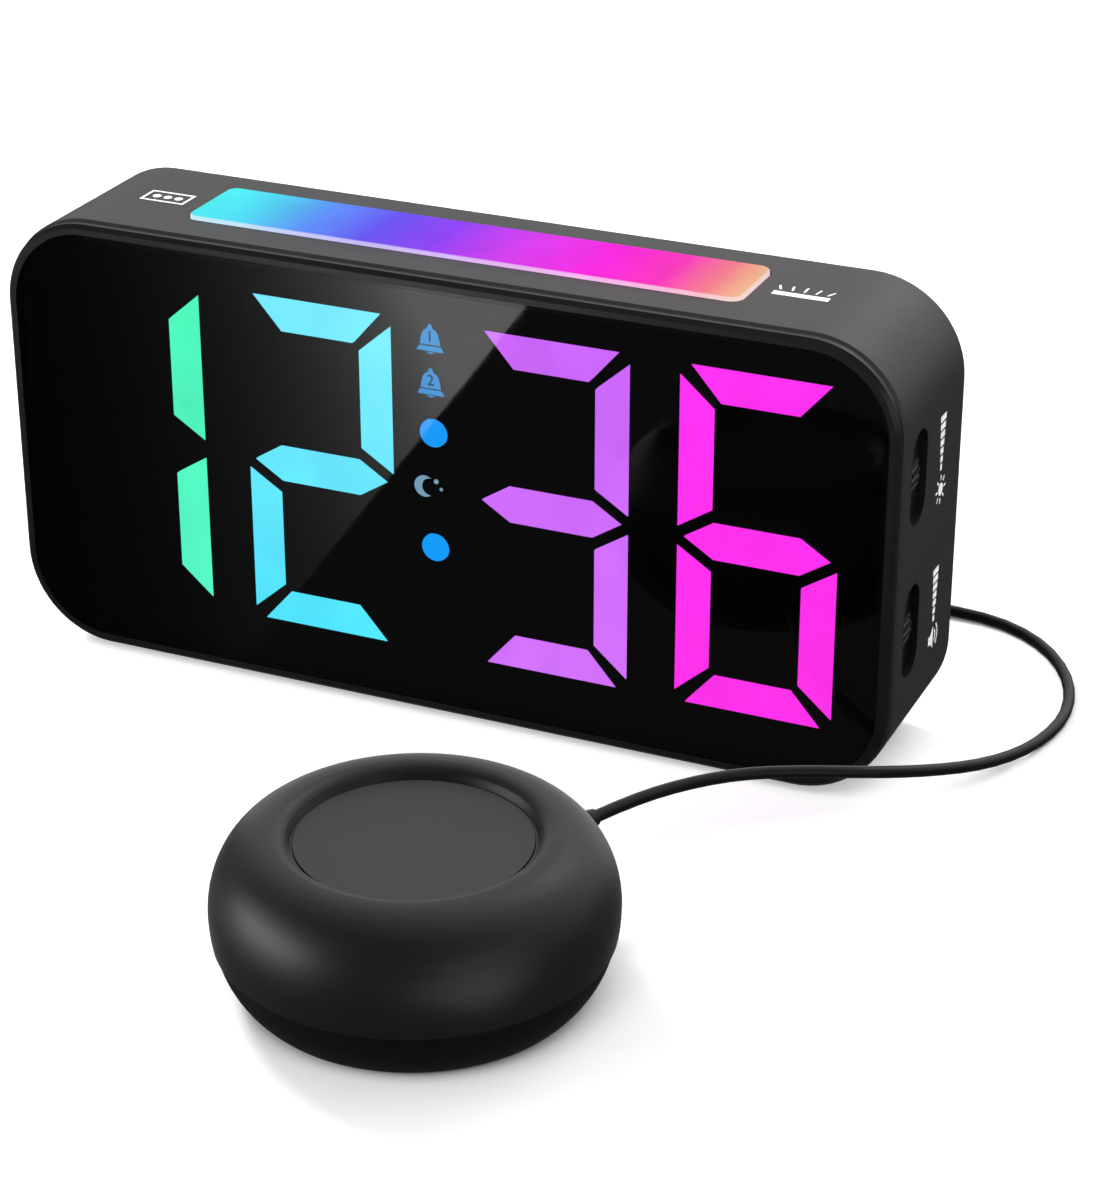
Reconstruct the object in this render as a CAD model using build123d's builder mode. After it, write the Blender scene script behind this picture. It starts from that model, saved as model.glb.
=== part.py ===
from build123d import *
from math import atan2, cos, degrees, pi, radians, sin, sqrt, tan
import os

# Bed shaker alarm clock: a display clock in a rounded sleeve, and a round shaker on a cord.
# X is the clock's width, -Y its front, Z up; the origin is under the middle of the clock. Millimetres.

# Clearances
fit_gap = 0.15  # between plastic pieces that push together
run_gap = 0.3  # round pieces that move
bore_gap = 0.05  # radial, round a turning or plugged shaft
thread_gap = 0.03  # radial, round a screw's shank
press_gap = 0.05  # left between a pressed key and its switch

# Clock case
clock_width = 160.0
body_height = 78.5
clock_depth = 32.3
corner_radius = 16.0
wall = 2.2
edge_break = 0.5
pad_length = 116.0
pad_width = 18.0
pad_height = 1.0
pad_corner = 4.0

# Front frame and lens
bezel_reach = 1.8  # how far the frame stands in front of the sleeve
bezel_step = 0.4  # how far it is set in from the sleeve's outline
bezel_chamfer = 0.7
rebate_wall = 1.15  # sleeve wall left round the frame's spigot
rebate_spare = 0.3  # rebate left open behind the spigot
spigot_length = 2.6
lens_margin = 2.1  # sleeve outline to lens edge
lens_shelf = 1.6  # width of the ledge behind the lens
lens_recess = 0.3
lens_thickness = 1.8

# Figures
figures_left = 5.7  # window's edge to the first figure
figures_right = 6.7
figures_low = 6.95
figures_high = 4.85
digit_gap = 8.6  # between tens and units
colon_gap = 15.0  # between hours and minutes
stroke = 5.8
middle_stroke = 6.4
mitre_tip = 1.9  # segment end to the corner of the figure, at its outer edge
mitre_root = 1.15  # the same at its inner edge, past the stroke
middle_tip = 1.15  # middle segment's points to the figure's edge
middle_shoulder = 6.2
waist_tip = 1.7  # side segments to the figure's middle, at their outer edge
waist_root = 5.4
dot_radius = 2.45
dot_rise = 10.3
cell_gap = 0.1  # round each segment in the reflector
board_thickness = 1.6

# Light bar on top
bar_length = 98.6
bar_width = 15.8
bar_y = 1.2
bar_corner = 2.0
bar_proud = 0.7
bar_wall = 1.6
bar_edge = 0.6
bar_lip = 1.0
bar_lip_height = 1.6
bar_travel = 0.8
presser_radius = 1.5
presser_spread = 80.0
tray_floor = 1.4
tray_wall = 1.2
tray_width = 18.0
tray_post = 6.0
strip_width = 9.0
strip_thickness = 1.0
led_size = (3.5, 2.8, 1.2)
led_count = 8
led_pitch = 8.6
key_switch = 6.0  # side of a square tact switch
key_switch_height = 3.0
plunger_radius = 1.6
plunger_height = 0.6

# Thumbwheels in the right wall
wheel_y = -6.7
dimmer_rise = 14.95  # above the case's middle
volume_drop = 11.85  # below it
wheel_radius = 7.0
wheel_width = 3.8
wheel_flush = 0.4  # rim to the wall's face
wheel_grooves = 30
groove_radius = 0.36
axle_radius = 1.25
scoop_height = 16.2
scoop_width = 7.9
scoop_depth = 1.4
pot_side = 9.0
pot_depth = 5.0
pot_floor = 0.5

# Rear cover and main board
cover_thickness = 2.4
boss_radius = 3.5
boss_bite = 0.5  # how far a screw boss reaches into the sleeve's wall
boss_length = 10.0
screw_radius = 1.25
screw_length = 8.0
head_radius = 2.3
head_height = 1.2
head_slot = 0.6  # arm of the cross in a screw's head
head_slot_depth = 0.7
head_slot_rim = 0.8  # from the cross to the head's edge
main_board_front = 5.4
main_board_floor_gap = 12.3  # above the sleeve's floor
main_board_tray_gap = 3.05  # below the light bar's tray
main_board_magnet_gap = 5.0
main_board_rim = 4.2  # board edge past the wheels' axles
post_radius = 2.6
post_inset = 6.0
post_low = 5.0
post_high = 4.5
post_right_high = 62.0
post_right_low = 40.0
small_screw_radius = 1.0
small_screw_length = 6.0
small_head_radius = 1.9
small_head_height = 1.2
chips = [(0.0, 14.0, 14.0), (-24.0, 10.0, 7.0), (24.0, 8.0, 6.0)]  # x, width and height
chip_rise = 3.75
chip_height = 1.6

# Rear buttons and slider
button_x = {
    "time_button": 50.0,
    "alarm_one_button": 36.0,
    "alarm_two_button": 22.0,
    "minus_button": 8.0,
    "plus_button": -6.0,
}
button_drop = 5.5  # below the main board's top edge
button_radius = 3.3
button_proud = 1.0
button_edge = 0.4
button_flange = 1.1
button_flange_depth = 1.0
button_travel = 0.8
rear_switch_height = 3.5
slider_x = 40.0
slider_rise = 1.75
slider_width = 3.6
slider_height = 3.4
slider_proud = 1.2
slider_travel = 3.0  # each way
slider_flange = 1.3
slider_flange_depth = 1.0
slider_cover = 0.7  # flange left over the slot's end at full travel
slider_switch = (12.0, 6.0, 4.9)

# Sockets
power_inset = 19.8  # from the main board's right edge
power_drop = 14.25
power_side = 9.0
power_bore = 2.85
power_pin = 1.05
power_depth = 8.5
power_pin_short = 1.0
shaker_x = 10.0
shaker_drop = 18.25
socket_side = 8.0
plug_pin_radius = 1.75
plug_pin_length = 8.0
socket_floor = 0.5

# Backup cell
cell_x = -22.0
cell_drop = 0.25
door_side = 24.0
door_corner = 2.0
door_notch = (7.0, 1.2)
holder_rim = 1.2
holder_floor = 1.5
cell_radius = 10.0
cell_height = 3.2

# Speaker on the rear cover
speaker_side_gap = 8.3  # speaker to the sleeve's left wall
speaker_rise = 1.75
speaker_radius = 13.5
speaker_rim = 2.0
speaker_rim_depth = 1.4
speaker_depth = 6.0
basket_radius = 7.0
basket_wall = 0.8
cone_radius = 3.4
cone_wall = 0.5
cone_depth = 2.6
magnet_depth = 4.0
grille_radius = 10.5
grille_slot = 1.5
grille_pitch = 3.0

# Shaker
puck_x = 33.0
puck_y = -91.0
puck_radius = 30.0
puck_waist_z = 13.7  # height of its widest place
puck_height = 25.9
puck_crest_radius = 20.5
puck_base_radius = 22.7  # the lower flank's curve would reach the table here
puck_seam_z = 9.5
puck_seam_step = 0.35
puck_wall = 2.2
puck_floor_z = 1.0
puck_recess_radius = 17.85  # foot of the dish's sloping wall
puck_recess_lip = 18.5
puck_recess_drop = 2.1  # crest to the ledge round the inlay
puck_inlay_radius = 17.45
puck_inlay_thickness = 1.3
puck_inlay_rise = 0.2  # above the ledge
puck_roof = 2.0
foot_inner = 14.0
foot_outer = 23.5
puck_screw_offset = 18.5
puck_screw_angle = 75.0
puck_screw_count = 3
puck_post_radius = 3.0

# Shaker's motor and weight
motor_z = 11.0
motor_radius = 6.0
motor_length = 20.0
motor_start = -14.0  # its rear end, from the shaker's axis
motor_nose = 1.2
motor_nose_radius = 2.5
motor_bore_depth = 9.0
shaft_radius = 1.0
saddle_width = 5.0
saddle_inset = 0.6
saddle_rise = 4.0
clamp_wall = 1.2
clamp_width = 7.0
clamp_foot = 5.0
clamp_screw_grip = 1.55  # clamp screw's end in the shell's floor
clamp_hole_spare = 0.1
weight_gap = 0.8
weight_length = 6.0
weight_radius = 6.8
weight_hub = 2.6

# Cord
cord_diameter = 2.0
cord_angle = 66.0  # where it leaves the shaker, from +X
cord_level = 14.0
grommet_neck = 1.7
grommet_collar = 2.05
grommet_end = 1.35
grommet_flange = 2.7
grommet_flange_depth = 1.0
grommet_stand = 0.5  # collar to the shaker's widest place
grommet_reach = 5.5
plug_radius = 3.6
plug_body = 15.0
plug_tail = 8.0
plug_tail_radius = 1.6
plug_edge = 0.8
bend_share = 0.45  # share of a straight run that one bend takes
cord_straight = 7.0  # straight length out of the shaker and off the coil
plug_straight = 5.2  # straight length into the plug
run_route = [
    (55.2, -42.6, 13.2),
    (61.6, -34.0, 12.2),
    (69.8, -27.2, 11.0),
    (79.4, -20.3, 9.4),
    (86.4, -10.6, 6.4),
    (92.0, 1.0, 3.0),
    (96.4, 12.6, 1.25),
    (98.6, 25.2, 1.0),
    (96.0, 38.0, 1.0),
    (88.4, 50.0, 1.0),
    (77.0, 57.0, 1.0),
    (62.0, 56.6, 1.3),
    (50.0, 56.6, 1.6),
]
lead_route = [(20.0, 53.8, 11.4), (14.6, 52.3, 15.4), (11.2, 49.4, 19.6)]

# Put-away length of the cord: a flat spiral in layers
coil_x = 36.0
coil_far_y = 56.6  # where the outer turn starts
coil_level = 1.6
coil_outer = 18.0
coil_pitch = 2.5
coil_half_turns = 11  # to a layer
coil_layers = 4
coil_samples = 24  # points on a half turn, to measure the gap
tie_wall = 0.45
tie_width = 3.0
tie_gap = 0.12

# Derived places
front_y = -clock_depth / 2
rear_y = clock_depth / 2
right_x = clock_width / 2
top_z = pad_height + body_height
mid_z = pad_height + body_height / 2
ceiling_z = top_z - wall
sleeve_front_y = front_y + bezel_reach
spigot_back_y = sleeve_front_y + spigot_length
lens_front_y = front_y + lens_recess
lens_back_y = lens_front_y + lens_thickness
shelf_inset = lens_margin + lens_shelf
reflector_front_y = lens_back_y + fit_gap
display_board_back_y = spigot_back_y + board_thickness
cover_inner_y = rear_y - cover_thickness
main_board_back = main_board_front + board_thickness
wheel_x = right_x - wheel_flush - wheel_radius
boss_reach = corner_radius - wall - boss_radius + boss_bite
boss_offset = corner_radius - boss_reach * cos(radians(45))
boss_span_x = clock_width - 2 * boss_offset
boss_span_z = body_height - 2 * boss_offset
lip_top_z = ceiling_z - run_gap
lip_bottom_z = lip_top_z - bar_lip_height
plunger_top_z = lip_bottom_z - bar_travel - press_gap
strip_top_z = plunger_top_z - plunger_height - key_switch_height
tray_top_z = strip_top_z - strip_thickness
post_x = bar_length / 2 + bar_lip + 2 * run_gap + tray_post / 2
wheel_levels = {"dimmer_wheel": mid_z + dimmer_rise, "volume_wheel": mid_z - volume_drop}
speaker_place = (wall + speaker_side_gap + speaker_radius - right_x, mid_z + speaker_rise)
main_board_left = speaker_place[0] + basket_radius + main_board_magnet_gap
main_board_right = wheel_x + main_board_rim
main_board_low = pad_height + wall + main_board_floor_gap
main_board_high = tray_top_z - tray_floor - main_board_tray_gap
post_places = [
    (main_board_left + post_inset, main_board_low + post_low),
    (main_board_left + post_inset, main_board_high - post_high),
    (post_right_high, main_board_high - post_high),
    (post_right_low, main_board_low + post_low),
]
button_z = main_board_high - button_drop
slider_place = (slider_x, mid_z + slider_rise)
power_place = (main_board_right - power_inset, mid_z - power_drop)
shaker_place = (shaker_x, mid_z - shaker_drop)
cell_place = (cell_x, mid_z - cell_drop)
switch_top_y = main_board_back + rear_switch_height + plunger_height
window_width = clock_width - 2 * shelf_inset
window_height = body_height - 2 * shelf_inset
digit_width = (window_width - figures_left - figures_right - 2 * digit_gap - colon_gap) / 4
digit_height = window_height - figures_low - figures_high
digit_pitch = digit_width + digit_gap
figures_x = (figures_left - figures_right) / 2
figures_z = mid_z + (figures_low - figures_high) / 2
colon_reach = (colon_gap + digit_width) / 2
digit_x = {
    "hour_tens": figures_x - colon_reach - digit_pitch,
    "hour_units": figures_x - colon_reach,
    "minute_tens": figures_x + colon_reach,
    "minute_units": figures_x + colon_reach + digit_pitch,
}
lit_segments = {"hour_tens": "bc", "hour_units": "abged", "minute_tens": "abgcd", "minute_units": "acdefg"}

os.makedirs("parts", exist_ok=True)


def upright(y):
    """Plane across the clock at depth y; a sketch on it is in X and Z and extrudes towards the front."""
    return Plane.XZ.offset(-y)


def case_outline(inset, mode=Mode.ADD):
    """The clock's front outline, set in all round."""
    with Locations((0, mid_z)):
        RectangleRounded(
            clock_width - 2 * inset, body_height - 2 * inset, corner_radius - inset, mode=mode
        )


def save(part, label):
    part.label = label
    export_step(part, f"parts/{label}.step")


# Housing sleeve: a tube open at both ends, rebated for the front frame, with the rear cover's
# screw bosses in its corners, the light bar's window in its top and two finger scoops in its right wall
with BuildPart() as housing_sleeve:
    with BuildSketch(upright(rear_y)):
        case_outline(0)
    extrude(amount=rear_y - sleeve_front_y)
    end_faces = housing_sleeve.faces().sort_by(Axis.Y)
    chamfer(end_faces[0].edges() + end_faces[-1].edges(), edge_break)
    with BuildSketch(upright(rear_y)):
        case_outline(wall)
    extrude(amount=rear_y - sleeve_front_y, mode=Mode.SUBTRACT)
    with BuildSketch(upright(spigot_back_y + rebate_spare)):
        case_outline(rebate_wall)
    extrude(amount=spigot_length + rebate_spare, mode=Mode.SUBTRACT)
    with BuildSketch(upright(cover_inner_y)):
        with Locations((0, mid_z)):
            with GridLocations(boss_span_x, boss_span_z, 2, 2):
                Circle(boss_radius)
    extrude(amount=boss_length)
    with BuildSketch(upright(cover_inner_y)):
        with Locations((0, mid_z)):
            with GridLocations(boss_span_x, boss_span_z, 2, 2):
                Circle(screw_radius + thread_gap)
    extrude(amount=screw_length, mode=Mode.SUBTRACT)
    with BuildSketch(Plane.XY.offset(top_z)):
        with Locations((0, bar_y)):
            RectangleRounded(bar_length + 2 * run_gap, bar_width + 2 * run_gap, bar_corner + run_gap)
    extrude(amount=-2 * wall, mode=Mode.SUBTRACT)
    with BuildSketch(Plane.YZ.offset(right_x)):
        for level in wheel_levels.values():
            with Locations((wheel_y, level)):
                SlotOverall(scoop_height, scoop_width, rotation=90)
    extrude(amount=-scoop_depth, mode=Mode.SUBTRACT)
    wheel_chord = 2 * sqrt(wheel_radius**2 - (wheel_radius + wheel_flush - wall) ** 2)
    with BuildSketch(Plane.YZ.offset(right_x - wall)):
        for level in wheel_levels.values():
            with Locations((wheel_y, level)):
                Rectangle(wheel_width + 2 * run_gap, wheel_chord + 2 * run_gap)
    extrude(amount=wall, mode=Mode.SUBTRACT)
save(housing_sleeve.part, "housing_sleeve")

with BuildPart() as base_pad:
    with BuildSketch(Plane.XY):
        RectangleRounded(pad_length, pad_width, pad_corner)
    extrude(amount=pad_height)
save(base_pad.part, "base_pad")

# Front frame: a flange before the sleeve and a spigot inside it, with a ledge for the lens
with BuildPart() as front_bezel:
    with BuildSketch(upright(sleeve_front_y)):
        case_outline(bezel_step)
    extrude(amount=bezel_reach)
    chamfer(front_bezel.faces().sort_by(Axis.Y)[0].edges(), bezel_chamfer)
    with BuildSketch(upright(spigot_back_y)):
        case_outline(rebate_wall + fit_gap)
    extrude(amount=spigot_length)
    with BuildSketch(upright(lens_back_y)):
        case_outline(lens_margin)
    extrude(amount=lens_thickness + lens_recess, mode=Mode.SUBTRACT)
    with BuildSketch(upright(spigot_back_y)):
        case_outline(shelf_inset)
    extrude(amount=spigot_length + bezel_reach, mode=Mode.SUBTRACT)
save(front_bezel.part, "front_bezel")

with BuildPart() as display_lens:
    with BuildSketch(upright(lens_back_y)):
        case_outline(lens_margin + fit_gap)
    extrude(amount=lens_thickness)
save(display_lens.part, "display_lens")


def segment_points(letter):
    """Outline of one segment about the middle of its figure."""
    side = digit_width / 2
    top = digit_height / 2
    if letter == "g":
        half = middle_stroke / 2
        right = [(side - middle_tip, 0), (side - middle_shoulder, -half)]
        left = [(middle_shoulder - side, -half), (middle_tip - side, 0)]
        return right + left + [(middle_shoulder - side, half), (side - middle_shoulder, half)]
    if letter in "ad":
        sign = 1 if letter == "a" else -1
        outer = side - mitre_tip
        inner = side - stroke - mitre_root
        low = top - stroke
        return [(-outer, sign * top), (outer, sign * top), (inner, sign * low), (-inner, sign * low)]
    across = 1 if letter in "bc" else -1
    up = 1 if letter in "bf" else -1
    inner = across * (side - stroke)
    return [
        (across * side, up * (top - mitre_tip)),
        (across * side, up * waist_tip),
        (inner, up * waist_root),
        (inner, up * (top - stroke - mitre_root)),
    ]


def figure_outline(name, letters):
    with Locations((digit_x[name], figures_z)):
        for letter in letters:
            Polygon(*segment_points(letter), align=None)


def colon_outline(radius):
    with Locations((figures_x, figures_z + dot_rise), (figures_x, figures_z - dot_rise)):
        Circle(radius)


# Reflector: an opaque plate with a light cell for every segment and dot
with BuildPart() as digit_reflector:
    with BuildSketch(upright(spigot_back_y)):
        case_outline(shelf_inset + fit_gap)
    extrude(amount=spigot_back_y - reflector_front_y)
    for name in digit_x:
        with BuildSketch(upright(spigot_back_y)):
            figure_outline(name, "abcdefg")
            offset(amount=cell_gap, kind=Kind.INTERSECTION)
        extrude(amount=spigot_back_y - reflector_front_y, mode=Mode.SUBTRACT)
    with BuildSketch(upright(spigot_back_y)):
        colon_outline(dot_radius + cell_gap)
    extrude(amount=spigot_back_y - reflector_front_y, mode=Mode.SUBTRACT)
save(digit_reflector.part, "digit_reflector")

# Light guides that fill the cells: the lit figures one by one, and the dark segments together
guide_back_y = spigot_back_y - fit_gap
guide_depth = guide_back_y - reflector_front_y
for name, letters in lit_segments.items():
    with BuildPart() as figure:
        with BuildSketch(upright(guide_back_y)):
            figure_outline(name, letters)
        extrude(amount=guide_depth)
    save(figure.part, f"{name}_figure")

with BuildPart() as dark_segments:
    with BuildSketch(upright(guide_back_y)):
        for name, letters in lit_segments.items():
            figure_outline(name, [letter for letter in "abcdefg" if letter not in letters])
    extrude(amount=guide_depth)
save(dark_segments.part, "dark_segments")

with BuildPart() as colon_dots:
    with BuildSketch(upright(guide_back_y)):
        colon_outline(dot_radius)
    extrude(amount=guide_depth)
save(colon_dots.part, "colon_dots")

with BuildPart() as display_board:
    with BuildSketch(upright(display_board_back_y)):
        case_outline(wall + 2 * fit_gap)
    extrude(amount=board_thickness)
save(display_board.part, "display_board")

# Light bar: a translucent cap that presses down, kept in by a lip under the sleeve's top
with BuildPart() as light_bar:
    with BuildSketch(Plane.XY.offset(lip_bottom_z)):
        with Locations((0, bar_y)):
            RectangleRounded(bar_length, bar_width, bar_corner)
    extrude(amount=top_z + bar_proud - lip_bottom_z)
    fillet(light_bar.faces().sort_by(Axis.Z)[-1].edges(), bar_edge)
    with BuildSketch(Plane.XY.offset(lip_bottom_z)):
        with Locations((0, bar_y)):
            RectangleRounded(bar_length + 2 * bar_lip, bar_width + 2 * bar_lip, bar_corner + bar_lip)
    extrude(amount=bar_lip_height)
    with BuildSketch(Plane.XY.offset(lip_bottom_z)):
        with Locations((0, bar_y)):
            RectangleRounded(bar_length - 2 * bar_wall, bar_width - 2 * bar_wall, bar_corner - bar_wall)
    extrude(amount=top_z + bar_proud - bar_wall - lip_bottom_z, mode=Mode.SUBTRACT)
    with BuildSketch(Plane.XY.offset(lip_bottom_z)):
        with Locations((0, bar_y)):
            with GridLocations(presser_spread, 0, 2, 1):
                Circle(presser_radius)
    extrude(amount=top_z + bar_proud - bar_wall / 2 - lip_bottom_z)
save(light_bar.part, "light_bar")

# Tray under the bar: a channel hung from the sleeve's top by a post at each end
with BuildPart() as light_tray:
    with BuildSketch(Plane.XY.offset(tray_top_z - tray_floor)):
        with Locations((0, bar_y)):
            Rectangle(2 * post_x + tray_post, tray_width)
    extrude(amount=tray_floor)
    with BuildSketch(Plane.XY.offset(tray_top_z)):
        with Locations((0, bar_y)):
            with GridLocations(0, tray_width - tray_wall, 1, 2):
                Rectangle(2 * post_x + tray_post, tray_wall)
    extrude(amount=lip_bottom_z - bar_travel - run_gap - tray_top_z)
    with BuildSketch(Plane.XY.offset(tray_top_z)):
        with Locations((0, bar_y)):
            with GridLocations(2 * post_x, 0, 2, 1):
                Rectangle(tray_post, tray_width)
    extrude(amount=ceiling_z - tray_top_z)
save(light_tray.part, "light_tray")

with BuildPart() as strip_board:
    with BuildSketch(Plane.XY.offset(tray_top_z)):
        with Locations((0, bar_y)):
            Rectangle(presser_spread + 2 * key_switch, strip_width)
    extrude(amount=strip_thickness)
save(strip_board.part, "strip_board")

with BuildPart() as strip_leds:
    with BuildSketch(Plane.XY.offset(strip_top_z)):
        with Locations((0, bar_y)):
            with GridLocations(led_pitch, 0, led_count, 1):
                Rectangle(led_size[0], led_size[1])
    extrude(amount=led_size[2])
save(strip_leds.part, "strip_leds")

with BuildPart() as bar_switches:
    with BuildSketch(Plane.XY.offset(strip_top_z)):
        with Locations((0, bar_y)):
            with GridLocations(presser_spread, 0, 2, 1):
                Rectangle(key_switch, key_switch)
    extrude(amount=key_switch_height)
    with BuildSketch(Plane.XY.offset(strip_top_z + key_switch_height)):
        with Locations((0, bar_y)):
            with GridLocations(presser_spread, 0, 2, 1):
                Circle(plunger_radius)
    extrude(amount=plunger_height)
save(bar_switches.part, "bar_switches")

# Thumbwheels: knurled discs on an axle that turns in a level control on the main board
wheel_back_y = wheel_y + wheel_width / 2
pot_front_y = main_board_front - pot_depth
axle_end_y = main_board_front - pot_floor - run_gap
for label, level in wheel_levels.items():
    with BuildPart() as wheel:
        with BuildSketch(upright(wheel_back_y)):
            with Locations((wheel_x, level)):
                Circle(wheel_radius)
                with PolarLocations(wheel_radius, wheel_grooves):
                    Circle(groove_radius, mode=Mode.SUBTRACT)
        extrude(amount=wheel_width)
        with BuildSketch(upright(axle_end_y)):
            with Locations((wheel_x, level)):
                Circle(axle_radius)
        extrude(amount=axle_end_y - wheel_back_y)
    save(wheel.part, label)

with BuildPart() as wheel_pots:
    with BuildSketch(upright(main_board_front)):
        for level in wheel_levels.values():
            with Locations((wheel_x, level)):
                Rectangle(pot_side, pot_side)
    extrude(amount=pot_depth)
    with BuildSketch(upright(main_board_front - pot_floor)):
        for level in wheel_levels.values():
            with Locations((wheel_x, level)):
                Circle(axle_radius + bore_gap)
    extrude(amount=pot_depth - pot_floor, mode=Mode.SUBTRACT)
save(wheel_pots.part, "wheel_pots")

# Rear cover: a plate inside the sleeve's end, with posts for the main board and every opening at the back
with BuildPart() as rear_cover:
    with BuildSketch(upright(rear_y)):
        case_outline(wall + fit_gap)
    extrude(amount=cover_thickness)
    with BuildSketch(upright(cover_inner_y)):
        with Locations(*post_places):
            Circle(post_radius)
    extrude(amount=cover_inner_y - main_board_back)
    with BuildSketch(upright(main_board_back + small_screw_length - board_thickness)):
        with Locations(*post_places):
            Circle(small_screw_radius + thread_gap)
    extrude(amount=small_screw_length - board_thickness, mode=Mode.SUBTRACT)
    with BuildSketch(upright(rear_y)):
        with Locations((0, mid_z)):
            with GridLocations(boss_span_x, boss_span_z, 2, 2):
                Circle(screw_radius + fit_gap)
        for x in button_x.values():
            with Locations((x, button_z)):
                Circle(button_radius + run_gap)
        with Locations(slider_place):
            Rectangle(slider_width + 2 * slider_travel + 2 * run_gap, slider_height + 2 * run_gap)
        with Locations(power_place):
            Rectangle(power_side + 2 * fit_gap, power_side + 2 * fit_gap)
        with Locations(shaker_place):
            Rectangle(socket_side + 2 * fit_gap, socket_side + 2 * fit_gap)
        with Locations(cell_place):
            RectangleRounded(door_side, door_side, door_corner)
        slot_count = int(grille_radius / grille_pitch)
        for step in range(-slot_count, slot_count + 1):
            chord = 2 * sqrt(grille_radius**2 - (step * grille_pitch) ** 2)
            with Locations((speaker_place[0], speaker_place[1] + step * grille_pitch)):
                SlotOverall(chord, grille_slot)
    extrude(amount=cover_thickness, mode=Mode.SUBTRACT)
    with BuildSketch(upright(rear_y)):
        with Locations((0, mid_z)):
            with GridLocations(boss_span_x, boss_span_z, 2, 2):
                Circle(head_radius + fit_gap)
    extrude(amount=head_height, mode=Mode.SUBTRACT)
save(rear_cover.part, "rear_cover")



def head_cross(radius):
    """The cross in a screw's head, drawn in the sketch that is open."""
    arm = 2 * (radius - head_slot_rim)
    Rectangle(arm, head_slot)
    Rectangle(head_slot, arm)


with BuildPart() as cover_screws:
    with BuildSketch(upright(rear_y)):
        with Locations((0, mid_z)):
            with GridLocations(boss_span_x, boss_span_z, 2, 2):
                Circle(head_radius)
    extrude(amount=head_height)
    with BuildSketch(upright(rear_y - head_height)):
        with Locations((0, mid_z)):
            with GridLocations(boss_span_x, boss_span_z, 2, 2):
                Circle(screw_radius)
    extrude(amount=screw_length)
    with BuildSketch(upright(rear_y)):
        with Locations((0, mid_z)):
            with GridLocations(boss_span_x, boss_span_z, 2, 2):
                head_cross(head_radius)
    extrude(amount=head_slot_depth, mode=Mode.SUBTRACT)
save(cover_screws.part, "cover_screws")

with BuildPart() as main_board:
    board_middle = ((main_board_left + main_board_right) / 2, (main_board_low + main_board_high) / 2)
    with BuildSketch(upright(main_board_back)):
        with Locations(board_middle):
            Rectangle(main_board_right - main_board_left, main_board_high - main_board_low)
        with Locations(*post_places):
            Circle(small_screw_radius + fit_gap, mode=Mode.SUBTRACT)
    extrude(amount=board_thickness)
save(main_board.part, "main_board")

with BuildPart() as board_screws:
    with BuildSketch(upright(main_board_front)):
        with Locations(*post_places):
            Circle(small_head_radius)
    extrude(amount=small_head_height)
    with BuildSketch(upright(main_board_front)):
        with Locations(*post_places):
            Circle(small_screw_radius)
    extrude(amount=-small_screw_length)
    with BuildSketch(upright(main_board_front - small_head_height)):
        with Locations(*post_places):
            head_cross(small_head_radius)
    extrude(amount=-head_slot_depth, mode=Mode.SUBTRACT)
save(board_screws.part, "board_screws")

with BuildPart() as main_chips:
    with BuildSketch(upright(main_board_front)):
        for x, width, height in chips:
            with Locations((x, mid_z + chip_rise)):
                Rectangle(width, height)
    extrude(amount=chip_height)
save(main_chips.part, "main_chips")

with BuildPart() as button_switches:
    with BuildSketch(upright(main_board_back + rear_switch_height)):
        for x in button_x.values():
            with Locations((x, button_z)):
                Rectangle(key_switch, key_switch)
    extrude(amount=rear_switch_height)
    with BuildSketch(upright(switch_top_y)):
        for x in button_x.values():
            with Locations((x, button_z)):
                Circle(plunger_radius)
    extrude(amount=plunger_height)
save(button_switches.part, "button_switches")

# Rear buttons: round caps with a flange that keeps them behind the cover
flange_back_y = cover_inner_y - run_gap
button_end_y = switch_top_y + button_travel + press_gap
for label, x in button_x.items():
    with BuildPart() as button:
        with BuildSketch(upright(rear_y + button_proud)):
            with Locations((x, button_z)):
                Circle(button_radius)
        extrude(amount=rear_y + button_proud - flange_back_y)
        fillet(button.faces().sort_by(Axis.Y)[-1].edges(), button_edge)
        with BuildSketch(upright(flange_back_y)):
            with Locations((x, button_z)):
                Circle(button_radius + button_flange)
        extrude(amount=button_flange_depth)
        with BuildSketch(upright(flange_back_y)):
            with Locations((x, button_z)):
                Circle(plunger_radius)
        extrude(amount=flange_back_y - button_end_y)
    save(button.part, label)

with BuildPart() as mode_slider:
    with BuildSketch(upright(rear_y + slider_proud)):
        with Locations(slider_place):
            Rectangle(slider_width, slider_height)
    extrude(amount=rear_y + slider_proud - flange_back_y)
    with BuildSketch(upright(flange_back_y)):
        with Locations(slider_place):
            Rectangle(
                slider_width + 4 * slider_travel + 2 * run_gap + 2 * slider_cover,
                slider_height + 2 * slider_flange,
            )
    extrude(amount=slider_flange_depth)
save(mode_slider.part, "mode_slider")

with BuildPart() as mode_switch:
    with BuildSketch(upright(main_board_back + slider_switch[2])):
        with Locations(slider_place):
            Rectangle(slider_switch[0], slider_switch[1])
    extrude(amount=slider_switch[2])
save(mode_switch.part, "mode_switch")

# Sockets on the main board, their mouths just inside the cover's outer face
socket_face_y = rear_y - fit_gap
with BuildPart() as power_jack:
    with BuildSketch(upright(socket_face_y)):
        with Locations(power_place):
            Rectangle(power_side, power_side)
    extrude(amount=socket_face_y - main_board_back)
    with BuildSketch(upright(socket_face_y)):
        with Locations(power_place):
            Circle(power_bore)
            Circle(power_pin, mode=Mode.SUBTRACT)
    extrude(amount=power_depth, mode=Mode.SUBTRACT)
    with BuildSketch(upright(socket_face_y)):
        with Locations(power_place):
            Circle(power_bore)
    extrude(amount=power_pin_short, mode=Mode.SUBTRACT)
save(power_jack.part, "power_jack")

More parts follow.
